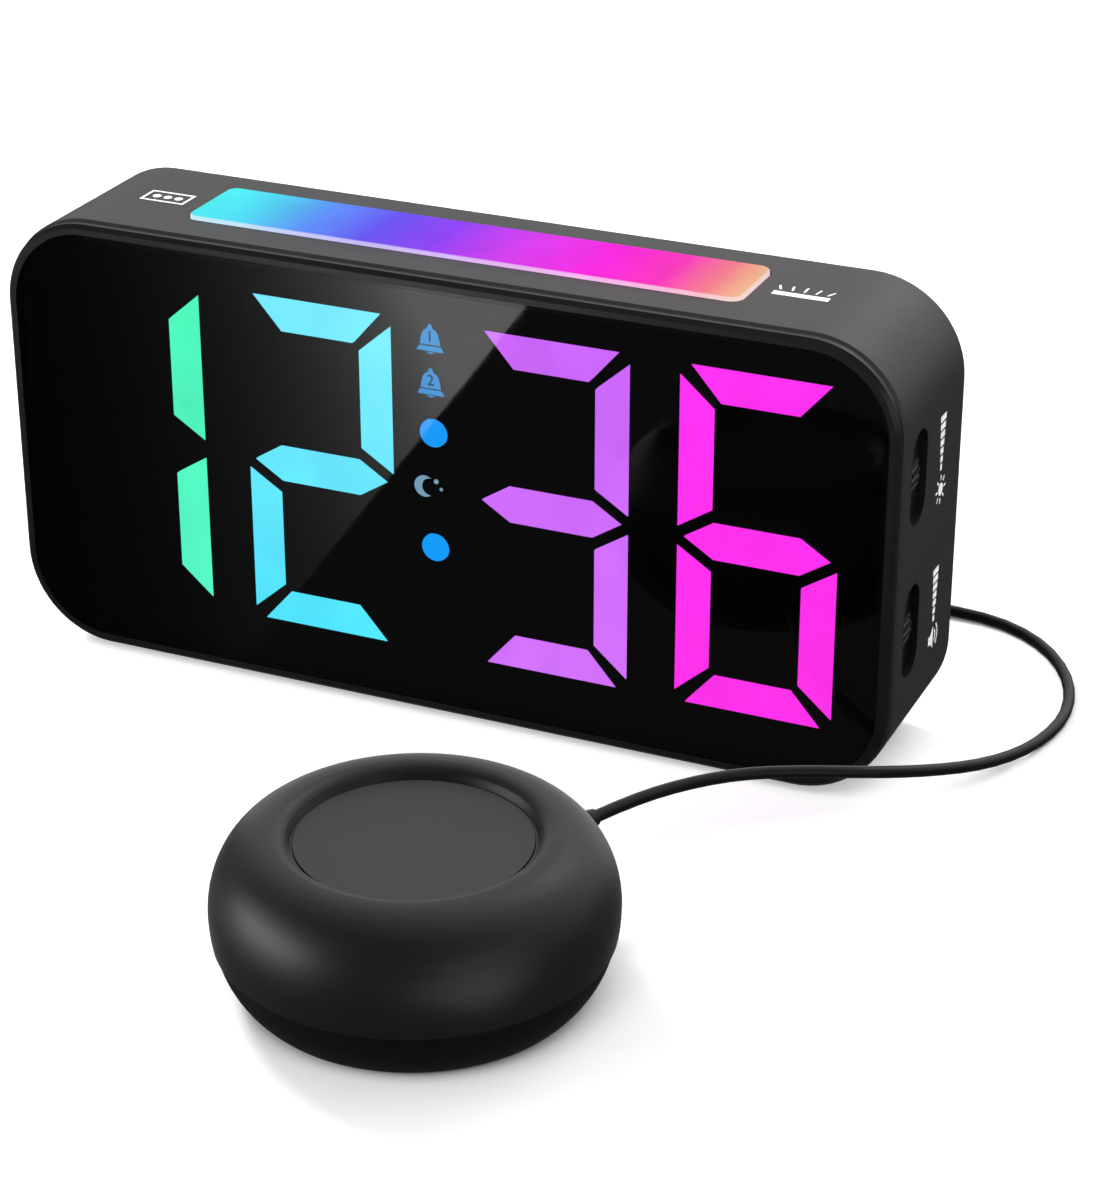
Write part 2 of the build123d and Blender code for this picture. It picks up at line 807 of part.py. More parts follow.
with BuildPart() as shaker_jack:
    with BuildSketch(upright(socket_face_y)):
        with Locations(shaker_place):
            Rectangle(socket_side, socket_side)
            Circle(plug_pin_radius + bore_gap, mode=Mode.SUBTRACT)
    extrude(amount=plug_pin_length)
    with BuildSketch(upright(socket_face_y - plug_pin_length)):
        with Locations(shaker_place):
            Rectangle(socket_side, socket_side)
    extrude(amount=socket_face_y - plug_pin_length - main_board_back)
save(shaker_jack.part, "shaker_jack")

# Backup cell: a round cell in a holder on the cover, under a pull-off door
holder_side = door_side + 2 * holder_rim
cell_front_y = cover_inner_y - run_gap - cell_height
with BuildPart() as cell_holder:
    with BuildSketch(upright(cover_inner_y)):
        with Locations(cell_place):
            Rectangle(holder_side, holder_side)
            Circle(cell_radius + fit_gap, mode=Mode.SUBTRACT)
    extrude(amount=cover_inner_y - cell_front_y)
    with BuildSketch(upright(cell_front_y)):
        with Locations(cell_place):
            Rectangle(holder_side, holder_side)
    extrude(amount=holder_floor)
save(cell_holder.part, "cell_holder")

with BuildPart() as coin_cell:
    with BuildSketch(upright(cell_front_y + cell_height)):
        with Locations(cell_place):
            Circle(cell_radius)
    extrude(amount=cell_height)
save(coin_cell.part, "coin_cell")

with BuildPart() as battery_door:
    with BuildSketch(upright(rear_y)):
        with Locations(cell_place):
            RectangleRounded(door_side - 2 * run_gap, door_side - 2 * run_gap, door_corner - run_gap)
    extrude(amount=cover_thickness - run_gap)
    with BuildSketch(upright(rear_y)):
        with Locations((cell_place[0], cell_place[1] + door_side / 2 - run_gap - door_notch[1] / 2)):
            Rectangle(*door_notch)
    extrude(amount=cover_thickness / 2, mode=Mode.SUBTRACT)
save(battery_door.part, "battery_door")

# Speaker on the cover, turned about an axis along Y
speaker_plane = Plane((speaker_place[0], 0, speaker_place[1]))
speaker_axis = Axis((speaker_place[0], 0, speaker_place[1]), (0, 1, 0))
rim_front_y = cover_inner_y - speaker_rim_depth
basket_floor_y = cover_inner_y - speaker_depth
rim_inner = speaker_radius - speaker_rim
with BuildPart() as speaker_frame:
    with BuildSketch(speaker_plane):
        with BuildLine():
            Polyline(
                (speaker_radius, cover_inner_y),
                (speaker_radius, rim_front_y),
                (basket_radius, basket_floor_y),
                (0, basket_floor_y),
                (0, basket_floor_y + basket_wall),
                (basket_radius - basket_wall, basket_floor_y + basket_wall),
                (rim_inner, rim_front_y),
                (rim_inner, cover_inner_y),
                close=True,
            )
        make_face()
    revolve(axis=speaker_axis)
save(speaker_frame.part, "speaker_frame")

cone_edge_y = cover_inner_y - fit_gap
with BuildPart() as speaker_cone:
    with BuildSketch(speaker_plane):
        with BuildLine():
            Polyline(
                (rim_inner - fit_gap, cone_edge_y),
                (cone_radius, cone_edge_y - cone_depth),
                (0, cone_edge_y - cone_depth),
                (0, cone_edge_y - cone_depth - cone_wall),
                (cone_radius, cone_edge_y - cone_depth - cone_wall),
                (rim_inner - fit_gap, cone_edge_y - cone_wall),
                close=True,
            )
        make_face()
    revolve(axis=speaker_axis)
save(speaker_cone.part, "speaker_cone")

with BuildPart() as speaker_magnet:
    with BuildSketch(upright(basket_floor_y)):
        with Locations(speaker_place):
            Circle(basket_radius)
    extrude(amount=magnet_depth)
save(speaker_magnet.part, "speaker_magnet")


# Shaker, turned about its own upright axis
puck_plane = Plane((puck_x, puck_y, 0), x_dir=(1, 0, 0), z_dir=(0, -1, 0))
puck_axis = Axis((puck_x, puck_y, 0), (0, 0, 1))
flank_reach = puck_radius - puck_base_radius
puck_ledge_z = puck_height - puck_recess_drop
puck_recess_floor = puck_ledge_z + puck_inlay_rise - puck_inlay_thickness
roof_z = puck_recess_floor - puck_roof
crown_reach = puck_radius - puck_crest_radius
crown_rise = puck_height - puck_waist_z


def lower_flank(z):
    """Outer radius of the shaker's lower flank at a height."""
    return puck_base_radius + flank_reach * sqrt(1 - ((puck_waist_z - z) / puck_waist_z) ** 2)


def flank_angle(z):
    across = (lower_flank(z) - puck_base_radius) / flank_reach
    return degrees(atan2((z - puck_waist_z) / puck_waist_z, across))


with BuildPart() as puck_top_shell:
    with BuildSketch(puck_plane):
        with BuildLine():
            EllipticalCenterArc(
                (puck_base_radius, puck_waist_z),
                flank_reach,
                puck_waist_z,
                start_angle=flank_angle(puck_seam_z),
                arc_size=-flank_angle(puck_seam_z),
            )
            EllipticalCenterArc((puck_crest_radius, puck_waist_z), crown_reach, crown_rise)
            crest = (puck_crest_radius, puck_height)
            inner_lip = (puck_recess_lip, puck_height - (puck_crest_radius - puck_recess_lip) / 2)
            TangentArc(crest, inner_lip, tangent=(-1, 0))
            Polyline(
                inner_lip,
                (puck_recess_radius, puck_ledge_z),
                (puck_inlay_radius + fit_gap, puck_ledge_z),
                (puck_inlay_radius + fit_gap, puck_recess_floor),
                (0, puck_recess_floor),
                (0, roof_z),
                (puck_crest_radius + crown_reach / 2, roof_z),
                (puck_radius - puck_wall, cord_level + grommet_flange + run_gap),
                (puck_radius - puck_wall, puck_waist_z),
                (lower_flank(puck_seam_z) - puck_wall, puck_seam_z),
                (lower_flank(puck_seam_z), puck_seam_z),
            )
        make_face()
    revolve(axis=puck_axis)
    with BuildSketch(Plane((puck_x, puck_y, puck_floor_z + puck_wall))):
        with PolarLocations(puck_screw_offset, puck_screw_count, start_angle=puck_screw_angle):
            Circle(puck_post_radius)
    extrude(amount=roof_z - puck_floor_z - puck_wall)
    with BuildSketch(Plane((puck_x, puck_y, puck_floor_z + puck_wall))):
        with PolarLocations(puck_screw_offset, puck_screw_count, start_angle=puck_screw_angle):
            Circle(screw_radius + thread_gap)
    extrude(amount=screw_length, mode=Mode.SUBTRACT)
    cord_out = Vector(cos(radians(cord_angle)), sin(radians(cord_angle)), 0)
    puck_middle = Vector(puck_x, puck_y, cord_level)
    with BuildSketch(Plane(puck_middle + cord_out * puck_crest_radius, z_dir=cord_out)):
        Circle(grommet_neck + fit_gap)
    extrude(amount=puck_radius, mode=Mode.SUBTRACT)
save(puck_top_shell.part, "puck_top_shell")

with BuildPart() as puck_inlay:
    with BuildSketch(Plane((puck_x, puck_y, puck_recess_floor))):
        Circle(puck_inlay_radius)
    extrude(amount=puck_inlay_thickness)
save(puck_inlay.part, "puck_inlay")

saddle_top_z = motor_z - motor_radius + saddle_rise
motor_end = motor_start + motor_length
with BuildPart() as puck_bottom_shell:
    with BuildSketch(puck_plane):
        with BuildLine():
            low_edge = (lower_flank(puck_floor_z) - puck_seam_step, puck_floor_z)
            high_edge = (lower_flank(puck_seam_z) - puck_seam_step, puck_seam_z - fit_gap)
            middle_z = (puck_floor_z + puck_seam_z) / 2
            ThreePointArc(low_edge, (lower_flank(middle_z) - puck_seam_step, middle_z), high_edge)
            Polyline(
                high_edge,
                (high_edge[0] - puck_wall, high_edge[1]),
                (low_edge[0] - puck_wall, puck_floor_z + puck_wall),
                (0, puck_floor_z + puck_wall),
                (0, puck_floor_z),
                low_edge,
            )
        make_face()
    revolve(axis=puck_axis)
    with BuildSketch(Plane((puck_x, puck_y, puck_floor_z))):
        with PolarLocations(puck_screw_offset, puck_screw_count, start_angle=puck_screw_angle):
            Circle(screw_radius + fit_gap)
    extrude(amount=puck_wall, mode=Mode.SUBTRACT)
    with BuildSketch(Plane((puck_x, puck_y, puck_floor_z))):
        with PolarLocations(puck_screw_offset, puck_screw_count, start_angle=puck_screw_angle):
            Circle(head_radius + fit_gap)
    extrude(amount=head_height, mode=Mode.SUBTRACT)
    with BuildSketch(Plane((puck_x, puck_y, puck_floor_z + puck_wall))):
        for x in (motor_start + saddle_inset, motor_end - saddle_inset - saddle_width):
            with Locations((x + saddle_width / 2, 0)):
                Rectangle(saddle_width, 2 * motor_radius)
    extrude(amount=saddle_top_z - puck_floor_z - puck_wall)
    with BuildSketch(Plane((puck_x + motor_start, puck_y, motor_z), z_dir=(1, 0, 0))):
        Circle(motor_radius + bore_gap)
    extrude(amount=motor_length, mode=Mode.SUBTRACT)
    clamp_x = (motor_start + motor_end) / 2
    foot_y = motor_radius + clamp_wall + clamp_foot / 2
    with BuildSketch(Plane((puck_x, puck_y, puck_floor_z + puck_wall))):
        with Locations((clamp_x, foot_y), (clamp_x, -foot_y)):
            Circle(small_screw_radius + thread_gap)
    extrude(amount=-(clamp_screw_grip + clamp_hole_spare), mode=Mode.SUBTRACT)
save(puck_bottom_shell.part, "puck_bottom_shell")

with BuildPart() as puck_foot_ring:
    with BuildSketch(Plane((puck_x, puck_y, 0))):
        Circle(foot_outer)
        Circle(foot_inner, mode=Mode.SUBTRACT)
    extrude(amount=puck_floor_z)
save(puck_foot_ring.part, "puck_foot_ring")

with BuildPart() as puck_screws:
    with BuildSketch(Plane((puck_x, puck_y, puck_floor_z))):
        with PolarLocations(puck_screw_offset, puck_screw_count, start_angle=puck_screw_angle):
            Circle(head_radius)
    extrude(amount=head_height)
    with BuildSketch(Plane((puck_x, puck_y, puck_floor_z + head_height))):
        with PolarLocations(puck_screw_offset, puck_screw_count, start_angle=puck_screw_angle):
            Circle(screw_radius)
    extrude(amount=screw_length)
    with BuildSketch(Plane((puck_x, puck_y, puck_floor_z))):
        with PolarLocations(puck_screw_offset, puck_screw_count, start_angle=puck_screw_angle):
            head_cross(head_radius)
    extrude(amount=head_slot_depth, mode=Mode.SUBTRACT)
save(puck_screws.part, "puck_screws")

with BuildPart() as shaker_motor:
    with BuildSketch(Plane((puck_x + motor_start, puck_y, motor_z), z_dir=(1, 0, 0))):
        Circle(motor_radius)
    extrude(amount=motor_length)
    with BuildSketch(Plane((puck_x + motor_end, puck_y, motor_z), z_dir=(1, 0, 0))):
        Circle(motor_nose_radius)
    extrude(amount=motor_nose)
    with BuildSketch(Plane((puck_x + motor_end + motor_nose, puck_y, motor_z), z_dir=(1, 0, 0))):
        Circle(shaft_radius + bore_gap)
    extrude(amount=-motor_bore_depth, mode=Mode.SUBTRACT)
save(shaker_motor.part, "shaker_motor")

# Strap over the motor, with a screwed foot on each side
strap_inner = motor_radius + bore_gap
strap_outer = strap_inner + clamp_wall
strap_base = puck_floor_z + puck_wall
strap_drop = motor_z - strap_base
with BuildPart() as motor_clamp:
    with BuildSketch(Plane((puck_x + clamp_x - clamp_width / 2, puck_y, motor_z), (0, 1, 0), (1, 0, 0))):
        Circle(strap_outer)
        with Locations((0, -strap_drop / 2)):
            Rectangle(2 * strap_outer, strap_drop)
        with Locations((0, clamp_wall / 2 - strap_drop)):
            Rectangle(2 * (strap_outer + clamp_foot), clamp_wall)
        Circle(strap_inner, mode=Mode.SUBTRACT)
        with Locations((0, -strap_drop / 2)):
            Rectangle(2 * strap_inner, strap_drop, mode=Mode.SUBTRACT)
    extrude(amount=clamp_width)
    with BuildSketch(Plane((puck_x, puck_y, strap_base))):
        with Locations((clamp_x, foot_y), (clamp_x, -foot_y)):
            Circle(small_screw_radius + fit_gap)
    extrude(amount=clamp_wall, mode=Mode.SUBTRACT)
save(motor_clamp.part, "motor_clamp")

with BuildPart() as clamp_screws:
    with BuildSketch(Plane((puck_x, puck_y, strap_base + clamp_wall))):
        with Locations((clamp_x, foot_y), (clamp_x, -foot_y)):
            Circle(small_head_radius)
    extrude(amount=small_head_height)
    with BuildSketch(Plane((puck_x, puck_y, strap_base + clamp_wall))):
        with Locations((clamp_x, foot_y), (clamp_x, -foot_y)):
            Circle(small_screw_radius)
    extrude(amount=-(clamp_wall + clamp_screw_grip))
    with BuildSketch(Plane((puck_x, puck_y, strap_base + clamp_wall + small_head_height))):
        with Locations((clamp_x, foot_y), (clamp_x, -foot_y)):
            head_cross(small_head_radius)
    extrude(amount=-head_slot_depth, mode=Mode.SUBTRACT)
save(clamp_screws.part, "clamp_screws")

# Eccentric weight: a half disc hanging on the motor's shaft
weight_start = motor_end + motor_nose + weight_gap
with BuildPart() as eccentric_weight:
    with BuildSketch(Plane((puck_x + weight_start, puck_y, motor_z), (0, 1, 0), (1, 0, 0))):
        Circle(weight_radius)
        with Locations((0, weight_radius / 2)):
            Rectangle(2 * weight_radius, weight_radius, mode=Mode.SUBTRACT)
        Circle(weight_hub)
    extrude(amount=weight_length)
    with BuildSketch(Plane((puck_x + weight_start, puck_y, motor_z), z_dir=(1, 0, 0))):
        Circle(shaft_radius)
    extrude(amount=-(weight_gap + motor_bore_depth - run_gap))
save(eccentric_weight.part, "eccentric_weight")

# Grommet in the shaker's wall, turned about the cord's own line
grommet_plane = Plane(puck_middle, x_dir=cord_out, z_dir=(cord_out.Y, -cord_out.X, 0))
collar_start = puck_radius + grommet_stand
cord_start = puck_radius + grommet_reach
shell_inner = puck_radius - puck_wall - fit_gap
flange_face = sqrt(shell_inner**2 - grommet_flange**2) - run_gap
with BuildPart() as cord_grommet:
    with BuildSketch(grommet_plane):
        with BuildLine():
            Polyline(
                (flange_face - grommet_flange_depth, 0),
                (flange_face - grommet_flange_depth, grommet_flange),
                (flange_face, grommet_flange),
                (flange_face, grommet_neck),
                (collar_start, grommet_neck),
                (collar_start, grommet_collar),
                (collar_start + grommet_flange_depth, grommet_collar),
                (cord_start, grommet_end),
                (cord_start, 0),
                close=True,
            )
        make_face()
    revolve(axis=Axis(puck_middle, cord_out))
save(cord_grommet.part, "cord_grommet")

# Plug in the shaker socket: a pin, a grip and a tapered tail
plug_plane = Plane((shaker_place[0], 0, shaker_place[1]))
plug_axis = Axis((shaker_place[0], 0, shaker_place[1]), (0, 1, 0))
plug_face_y = rear_y + fit_gap
plug_end_y = plug_face_y + plug_body + plug_tail
with BuildPart() as shaker_plug:
    with BuildSketch(plug_plane):
        with BuildLine():
            Polyline(
                (0, socket_face_y - plug_pin_length + socket_floor),
                (plug_pin_radius, socket_face_y - plug_pin_length + socket_floor),
                (plug_pin_radius, plug_face_y),
                (plug_radius - plug_edge, plug_face_y),
                (plug_radius, plug_face_y + plug_edge),
                (plug_radius, plug_face_y + plug_body),
                (plug_tail_radius, plug_end_y),
                (0, plug_end_y),
                close=True,
            )
        make_face()
    revolve(axis=plug_axis)
save(shaker_plug.part, "shaker_plug")


def bend_radii(points):
    """Radius for each corner of a route: as large as its two runs allow."""
    radii = []
    for before, corner, after in zip(points, points[1:], points[2:]):
        turn = radians((corner - before).get_angle(after - corner))
        shorter = min((corner - before).length, (after - corner).length)
        radii.append(bend_share * shorter / tan(turn / 2))
    return radii


def tube_report(name, part, length):
    expected = pi * cord_diameter**2 / 4 * length
    print(f"{name}: length {length:.1f}, volume {part.volume:.1f}, section times length {expected:.1f}")


def lay_cord(label, points):
    radii = bend_radii(points)
    print(f"{label} bend radii:", [round(radius, 1) for radius in radii])
    with BuildPart() as cord:
        with BuildLine() as route:
            FilletPolyline(*points, radius=radii)
        with BuildSketch(Plane(points[0], z_dir=points[1] - points[0])):
            Circle(cord_diameter / 2)
        sweep(path=route.wire())
    tube_report(label, cord.part, route.wire().length)
    save(cord.part, label)


# Cord in view: out of the shaker, past the clock's front corner, round its right side on the table
cord_exit = puck_middle + cord_out * cord_start
coil_start = Vector(coil_x + cord_diameter, coil_far_y, coil_level)
run_points = [cord_exit, cord_exit + cord_out * cord_straight]
run_points += [Vector(*point) for point in run_route]
run_points += [coil_start]
lay_cord("cord_run", run_points)

# Put-away length: half turns that spiral in and out, climbing a layer where the spiral reverses
inward = [coil_outer - step * coil_pitch / 2 for step in range(coil_half_turns)]
outward = inward[::-1]
inner_climb = coil_outer - coil_half_turns * coil_pitch / 2
outer_climb = coil_outer + coil_pitch / 2
turns = []
for layer in range(coil_layers):
    going_in = layer % 2 == 0
    turns += [(radius, 0) for radius in (inward if going_in else outward)]
    turns += [(inner_climb if going_in else outer_climb, coil_pitch)]
turns = turns[:-2]  # the top layer ends half a turn early, where the lead comes off
coil_points = []
with BuildPart() as cord_coil:
    with BuildLine() as winding:
        place = Vector(coil_x, coil_far_y, coil_level)
        Line(coil_start, place)
        side = -1
        for radius, rise in turns:
            middle = place + Vector(0, side * radius, rise / 2)
            finish = place + Vector(0, 2 * side * radius, rise)
            crown = middle + Vector(side * sqrt(radius**2 + rise**2 / 4), 0, 0)
            arc = ThreePointArc(place, crown, finish)
            coil_points += [arc @ (step / coil_samples) for step in range(coil_samples)]
            place = finish
            side = -side
        coil_end = place - Vector(cord_diameter, 0, 0)
        Line(place, coil_end)
    with BuildSketch(Plane(coil_start, z_dir=(-1, 0, 0))):
        Circle(cord_diameter / 2)
    sweep(path=winding.wire())
tube_report("cord_coil", cord_coil.part, winding.wire().length)
nearest = min(
    (here - there).length
    for index, here in enumerate(coil_points)
    for there in coil_points[index + coil_samples :]
)
print(f"cord_coil: {len(turns) / 2} loops, least gap to itself {nearest - cord_diameter:.2f}")
save(cord_coil.part, "cord_coil")

# Lead from the top of the coil up to the plug
plug_tail_end = Vector(shaker_place[0], plug_end_y, shaker_place[1])
lead_points = [coil_end, coil_end - Vector(cord_straight, 0, 0)]
lead_points += [Vector(*point) for point in lead_route]
lead_points += [plug_tail_end + Vector(0, plug_straight, 0), plug_tail_end]
lay_cord("cord_lead", lead_points)

# Tie: a flat band round the turns on the coil's left side
bundle_outer = coil_outer + coil_pitch / 2 + cord_diameter / 2 + tie_gap
bundle_inner = inner_climb - cord_diameter / 2 - tie_gap
bundle_low = coil_level - cord_diameter / 2 - tie_gap
bundle_high = coil_level + (coil_layers - 1) * coil_pitch + cord_diameter / 2 + tie_gap
coil_middle_y = coil_far_y - coil_outer - coil_pitch / 2
with BuildPart() as cord_tie:
    with BuildSketch(upright(coil_middle_y + tie_width / 2)):
        with Locations((coil_x - (bundle_outer + bundle_inner) / 2, (bundle_low + bundle_high) / 2)):
            width = bundle_outer - bundle_inner
            height = bundle_high - bundle_low
            RectangleRounded(width + 2 * tie_wall, height + 2 * tie_wall, 2 * tie_wall)
            RectangleRounded(width, height, tie_wall, mode=Mode.SUBTRACT)
    extrude(amount=tie_width)
save(cord_tie.part, "cord_tie")
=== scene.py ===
import math

import bmesh
import bpy
from mathutils import Matrix, Vector


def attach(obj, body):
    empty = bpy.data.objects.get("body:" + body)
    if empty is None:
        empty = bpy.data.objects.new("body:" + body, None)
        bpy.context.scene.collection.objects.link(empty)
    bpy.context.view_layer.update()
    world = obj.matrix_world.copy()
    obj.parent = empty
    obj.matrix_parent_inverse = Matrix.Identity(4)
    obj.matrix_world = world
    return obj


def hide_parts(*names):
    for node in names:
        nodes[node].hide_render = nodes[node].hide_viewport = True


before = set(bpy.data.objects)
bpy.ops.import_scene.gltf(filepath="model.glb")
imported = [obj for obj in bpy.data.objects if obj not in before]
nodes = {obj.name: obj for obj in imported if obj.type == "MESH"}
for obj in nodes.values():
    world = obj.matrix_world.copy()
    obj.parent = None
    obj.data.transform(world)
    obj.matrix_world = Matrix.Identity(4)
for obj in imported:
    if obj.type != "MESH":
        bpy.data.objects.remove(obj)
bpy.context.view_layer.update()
mm = 0.001  # sizes below are in millimetres, unless a note says metres


def addObject(name, data):
    added = bpy.data.objects.new(name, data)
    bpy.context.scene.collection.objects.link(added)
    return added


# Camera, at the photograph's angle
viewpoint = {
    "target": (14.58, 0.0, 18.05),
    "azimuth": 23.77,  # degrees to the right of the clock's front
    "elevation": 26.0,
    "distance": 542.5,
    "lens": 95.73,
    "sensor": 36.0,  # across the picture's long side
    "clip": (0.01, 20.0),  # metres
}
target = Vector(viewpoint["target"]) * mm
swing, lift = math.radians(viewpoint["azimuth"]), math.radians(viewpoint["elevation"])
towardsEye = Vector(
    (math.sin(swing) * math.cos(lift), -math.cos(swing) * math.cos(lift), math.sin(lift))
)
camera = addObject("camera", bpy.data.cameras.new("camera"))
camera.data.lens = viewpoint["lens"]
camera.data.sensor_width = viewpoint["sensor"]
camera.data.clip_start, camera.data.clip_end = viewpoint["clip"]
camera.location = target + towardsEye * viewpoint["distance"] * mm
camera.rotation_euler = (-towardsEye).to_track_quat("-Z", "Y").to_euler()
bpy.context.scene.camera = camera
bpy.context.scene.view_settings.view_transform = "Standard"  # a hex colour shows as written
print("camera set")

# Cord: out of the shaker, past the clock's front corner, round its right side, into a tied coil
# behind it and up to its plug
cord = {
    "diameter": 2.0,
    "shaker": (33.0, -91.0, 14.0),  # the shaker's axis, at the height where the cord leaves it
    "outAngle": 66.0,  # degrees from the clock's right, round towards its back
    "exitReach": 35.5,
    "straight": 7.0,
    "run": [
        (55.2, -42.6, 13.2), (61.6, -34.0, 12.2), (69.8, -27.2, 11.0), (79.4, -20.3, 9.4),
        (86.4, -10.6, 6.4), (92.0, 1.0, 3.0), (96.4, 12.6, 1.25), (98.6, 25.2, 1.0),
        (96.0, 38.0, 1.0), (88.4, 50.0, 1.0), (77.0, 57.0, 1.0), (62.0, 56.6, 1.3),
        (50.0, 56.6, 1.6),
    ],
    "coilStart": (36.0, 56.6, 1.6),
    "coilOuter": 18.0,
    "coilPitch": 2.5,
    "halfTurns": 11,  # to a layer
    "layers": 4,
    "pointsToHalfTurn": 12,
    "lead": [(20.0, 53.8, 11.4), (14.6, 52.3, 15.4), (11.2, 49.4, 19.6)],
    "plugTail": (10.0, 39.3, 22.0),
    "plugStraight": 5.2,
    "length": 1.87,  # metres
    "order": 3,
    "stepsAlong": 3,  # to each stretch between two points
    "stepsRound": 4,
}


def coilPoints():
    # flat spirals of half turns, one layer inwards and the next outwards
    pitch, outer = cord["coilPitch"], cord["coilOuter"]
    inward = [outer - step * pitch / 2 for step in range(cord["halfTurns"])]
    innerClimb = outer - cord["halfTurns"] * pitch / 2
    outerClimb = outer + pitch / 2
    turns = []
    for layer in range(cord["layers"]):
        goingIn = layer % 2 == 0
        turns += [(radius, 0.0) for radius in (inward if goingIn else inward[::-1])]
        turns += [(innerClimb if goingIn else outerClimb, pitch)]
    place, side, points = Vector(cord["coilStart"]), -1, []
    for radius, rise in turns[:-2]:  # the top layer ends half a turn early, for the lead
        for step in range(cord["pointsToHalfTurn"]):
            turn = math.pi * step / cord["pointsToHalfTurn"]
            along = Vector((math.sin(turn), 1 - math.cos(turn), 0)) * side * radius
            points.append(place + along + Vector((0, 0, rise * (1 - math.cos(turn)) / 2)))
        place = place + Vector((0, 2 * side * radius, rise))
        side = -side
    return points + [place]


outAngle = math.radians(cord["outAngle"])
cordOut = Vector((math.cos(outAngle), math.sin(outAngle), 0))
cordExit = Vector(cord["shaker"]) + cordOut * cord["exitReach"]
winding = coilPoints()
sidestep = Vector((cord["diameter"], 0, 0))
coilEnd = winding[-1] - sidestep
tail = Vector(cord["plugTail"])
route = [cordExit, cordExit + cordOut * cord["straight"]]
route += [Vector(point) for point in cord["run"]]
route += [winding[0] + sidestep] + winding
route += [coilEnd, coilEnd - Vector((cord["straight"], 0, 0))]
route += [Vector(point) for point in cord["lead"]]
route += [tail + Vector((0, cord["plugStraight"], 0)), tail]
cordCurve = bpy.data.curves.new("shakerCord", "CURVE")
cordCurve.dimensions = "3D"
cordCurve.bevel_depth = 1.0  # times each point's radius, which the curve's box is measured with
cordCurve.bevel_resolution = cord["stepsRound"]
cordCurve.resolution_u = cord["stepsAlong"]
cordCurve.use_fill_caps = True
spline = cordCurve.splines.new("NURBS")
spline.points.add(len(route) - 1)
for point, place in zip(spline.points, route):
    point.co = (*(place * mm), 1.0)
    point.radius = cord["diameter"] / 2 * mm
spline.order_u = cord["order"]
spline.use_endpoint_u = True
shakerCord = addObject("shakerCord", cordCurve)
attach(shakerCord, "clock")
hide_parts("cord_run", "cord_coil", "cord_lead")
print("cord laid:", len(route), "points")


# Materials
def linear(hexColour):
    # from the sRGB of a hex colour to the linear light that a shader takes
    shares = [int(hexColour[place:place + 2], 16) / 255 for place in (1, 3, 5)]
    return (*[s / 12.92 if s <= 0.04045 else ((s + 0.055) / 1.055) ** 2.4 for s in shares], 1.0)


def feed(material, node, inputs):
    for socket, value in inputs.items():
        if isinstance(value, bpy.types.NodeSocket):
            material.node_tree.links.new(value, node.inputs[socket])
        else:
            node.inputs[socket].default_value = value


def addNode(material, kind, inputs=None, **settings):
    node = material.node_tree.nodes.new(kind)
    for name, value in settings.items():
        setattr(node, name, value)
    feed(material, node, inputs or {})
    return node


def setShader(material, **sockets):
    shader = material.node_tree.nodes["Principled BSDF"]
    feed(material, shader, {name.replace("_", " "): value for name, value in sockets.items()})


def newMaterial(name, **sockets):
    material = bpy.data.materials.new(name)
    material.use_nodes = True
    setShader(material, **sockets)
    return material


moulding = {
    "drift": 14.0,  # tone and gloss drift over about this length
    "driftDetail": 3.0,
    "grainDetail": 2.0,
    "glossDrift": 0.05,  # either way from the roughness
}


def mouldedSurface(name, dark, light, rough, grain, depth, **sockets):
    # fine grain in the surface, with slow drifts of tone and gloss, as a moulding has
    material = newMaterial(name, **sockets)
    place = addNode(material, "ShaderNodeTexCoord").outputs["Object"]
    fine = addNode(
        material, "ShaderNodeTexNoise",
        {"Vector": place, "Scale": 1 / (grain * mm), "Detail": moulding["grainDetail"]},
    )
    slow = addNode(
        material, "ShaderNodeTexNoise",
        {"Vector": place, "Scale": 1 / (moulding["drift"] * mm), "Detail": moulding["driftDetail"]},
    )
    tone = addNode(
        material, "ShaderNodeMix",
        {0: slow.outputs["Fac"], 6: linear(dark), 7: linear(light)}, data_type="RGBA",
    )
    gloss = addNode(
        material, "ShaderNodeMapRange",
        {
            "Value": slow.outputs["Fac"],
            "To Min": rough - moulding["glossDrift"], "To Max": rough + moulding["glossDrift"],
        },
    )
    bump = addNode(
        material, "ShaderNodeBump", {"Height": fine.outputs["Fac"], "Distance": depth * mm}
    )
    setShader(
        material, Base_Color=tone.outputs[2], Roughness=gloss.outputs[0], Normal=bump.outputs[0]
    )
    return material


# ABS from a spark-eroded mould: dark grey, dull, with a fine dry grain, coarser than the real
# 0.2 mm so that it shows
sleeveAbs = mouldedSurface(
    "sleeveAbs", "#171718", "#1e1e1f", rough=0.5, grain=0.4, depth=0.03, IOR=1.53
)
# ABS from a smoother mould: near black with a satin shine on its edges
frameAbs = mouldedSurface(
    "frameAbs", "#080808", "#0b0b0b", rough=0.34, grain=0.5, depth=0.004, IOR=1.53,
    Specular_IOR_Level=0.35,
)
# soft-touch paint on ABS: black, even, with wide soft highlights
softTouchCoat = mouldedSurface(
    "softTouchCoat", "#070707", "#0b0b0b", rough=0.44, grain=0.3, depth=0.006, IOR=1.5,
    Specular_IOR_Level=0.4, Sheen_Weight=0.06, Sheen_Roughness=0.25,
)
# the shaker's base, left as moulded: deeper black
baseAbs = mouldedSurface(
    "baseAbs", "#030303", "#050505", rough=0.5, grain=0.4, depth=0.008, IOR=1.53,
    Specular_IOR_Level=0.2,
)
# ABS inlay with a dry matt face: a shade lighter than the paint round it
inlayAbs = mouldedSurface(
    "inlayAbs", "#191919", "#1e1e1e", rough=0.62, grain=0.45, depth=0.012, IOR=1.53
)
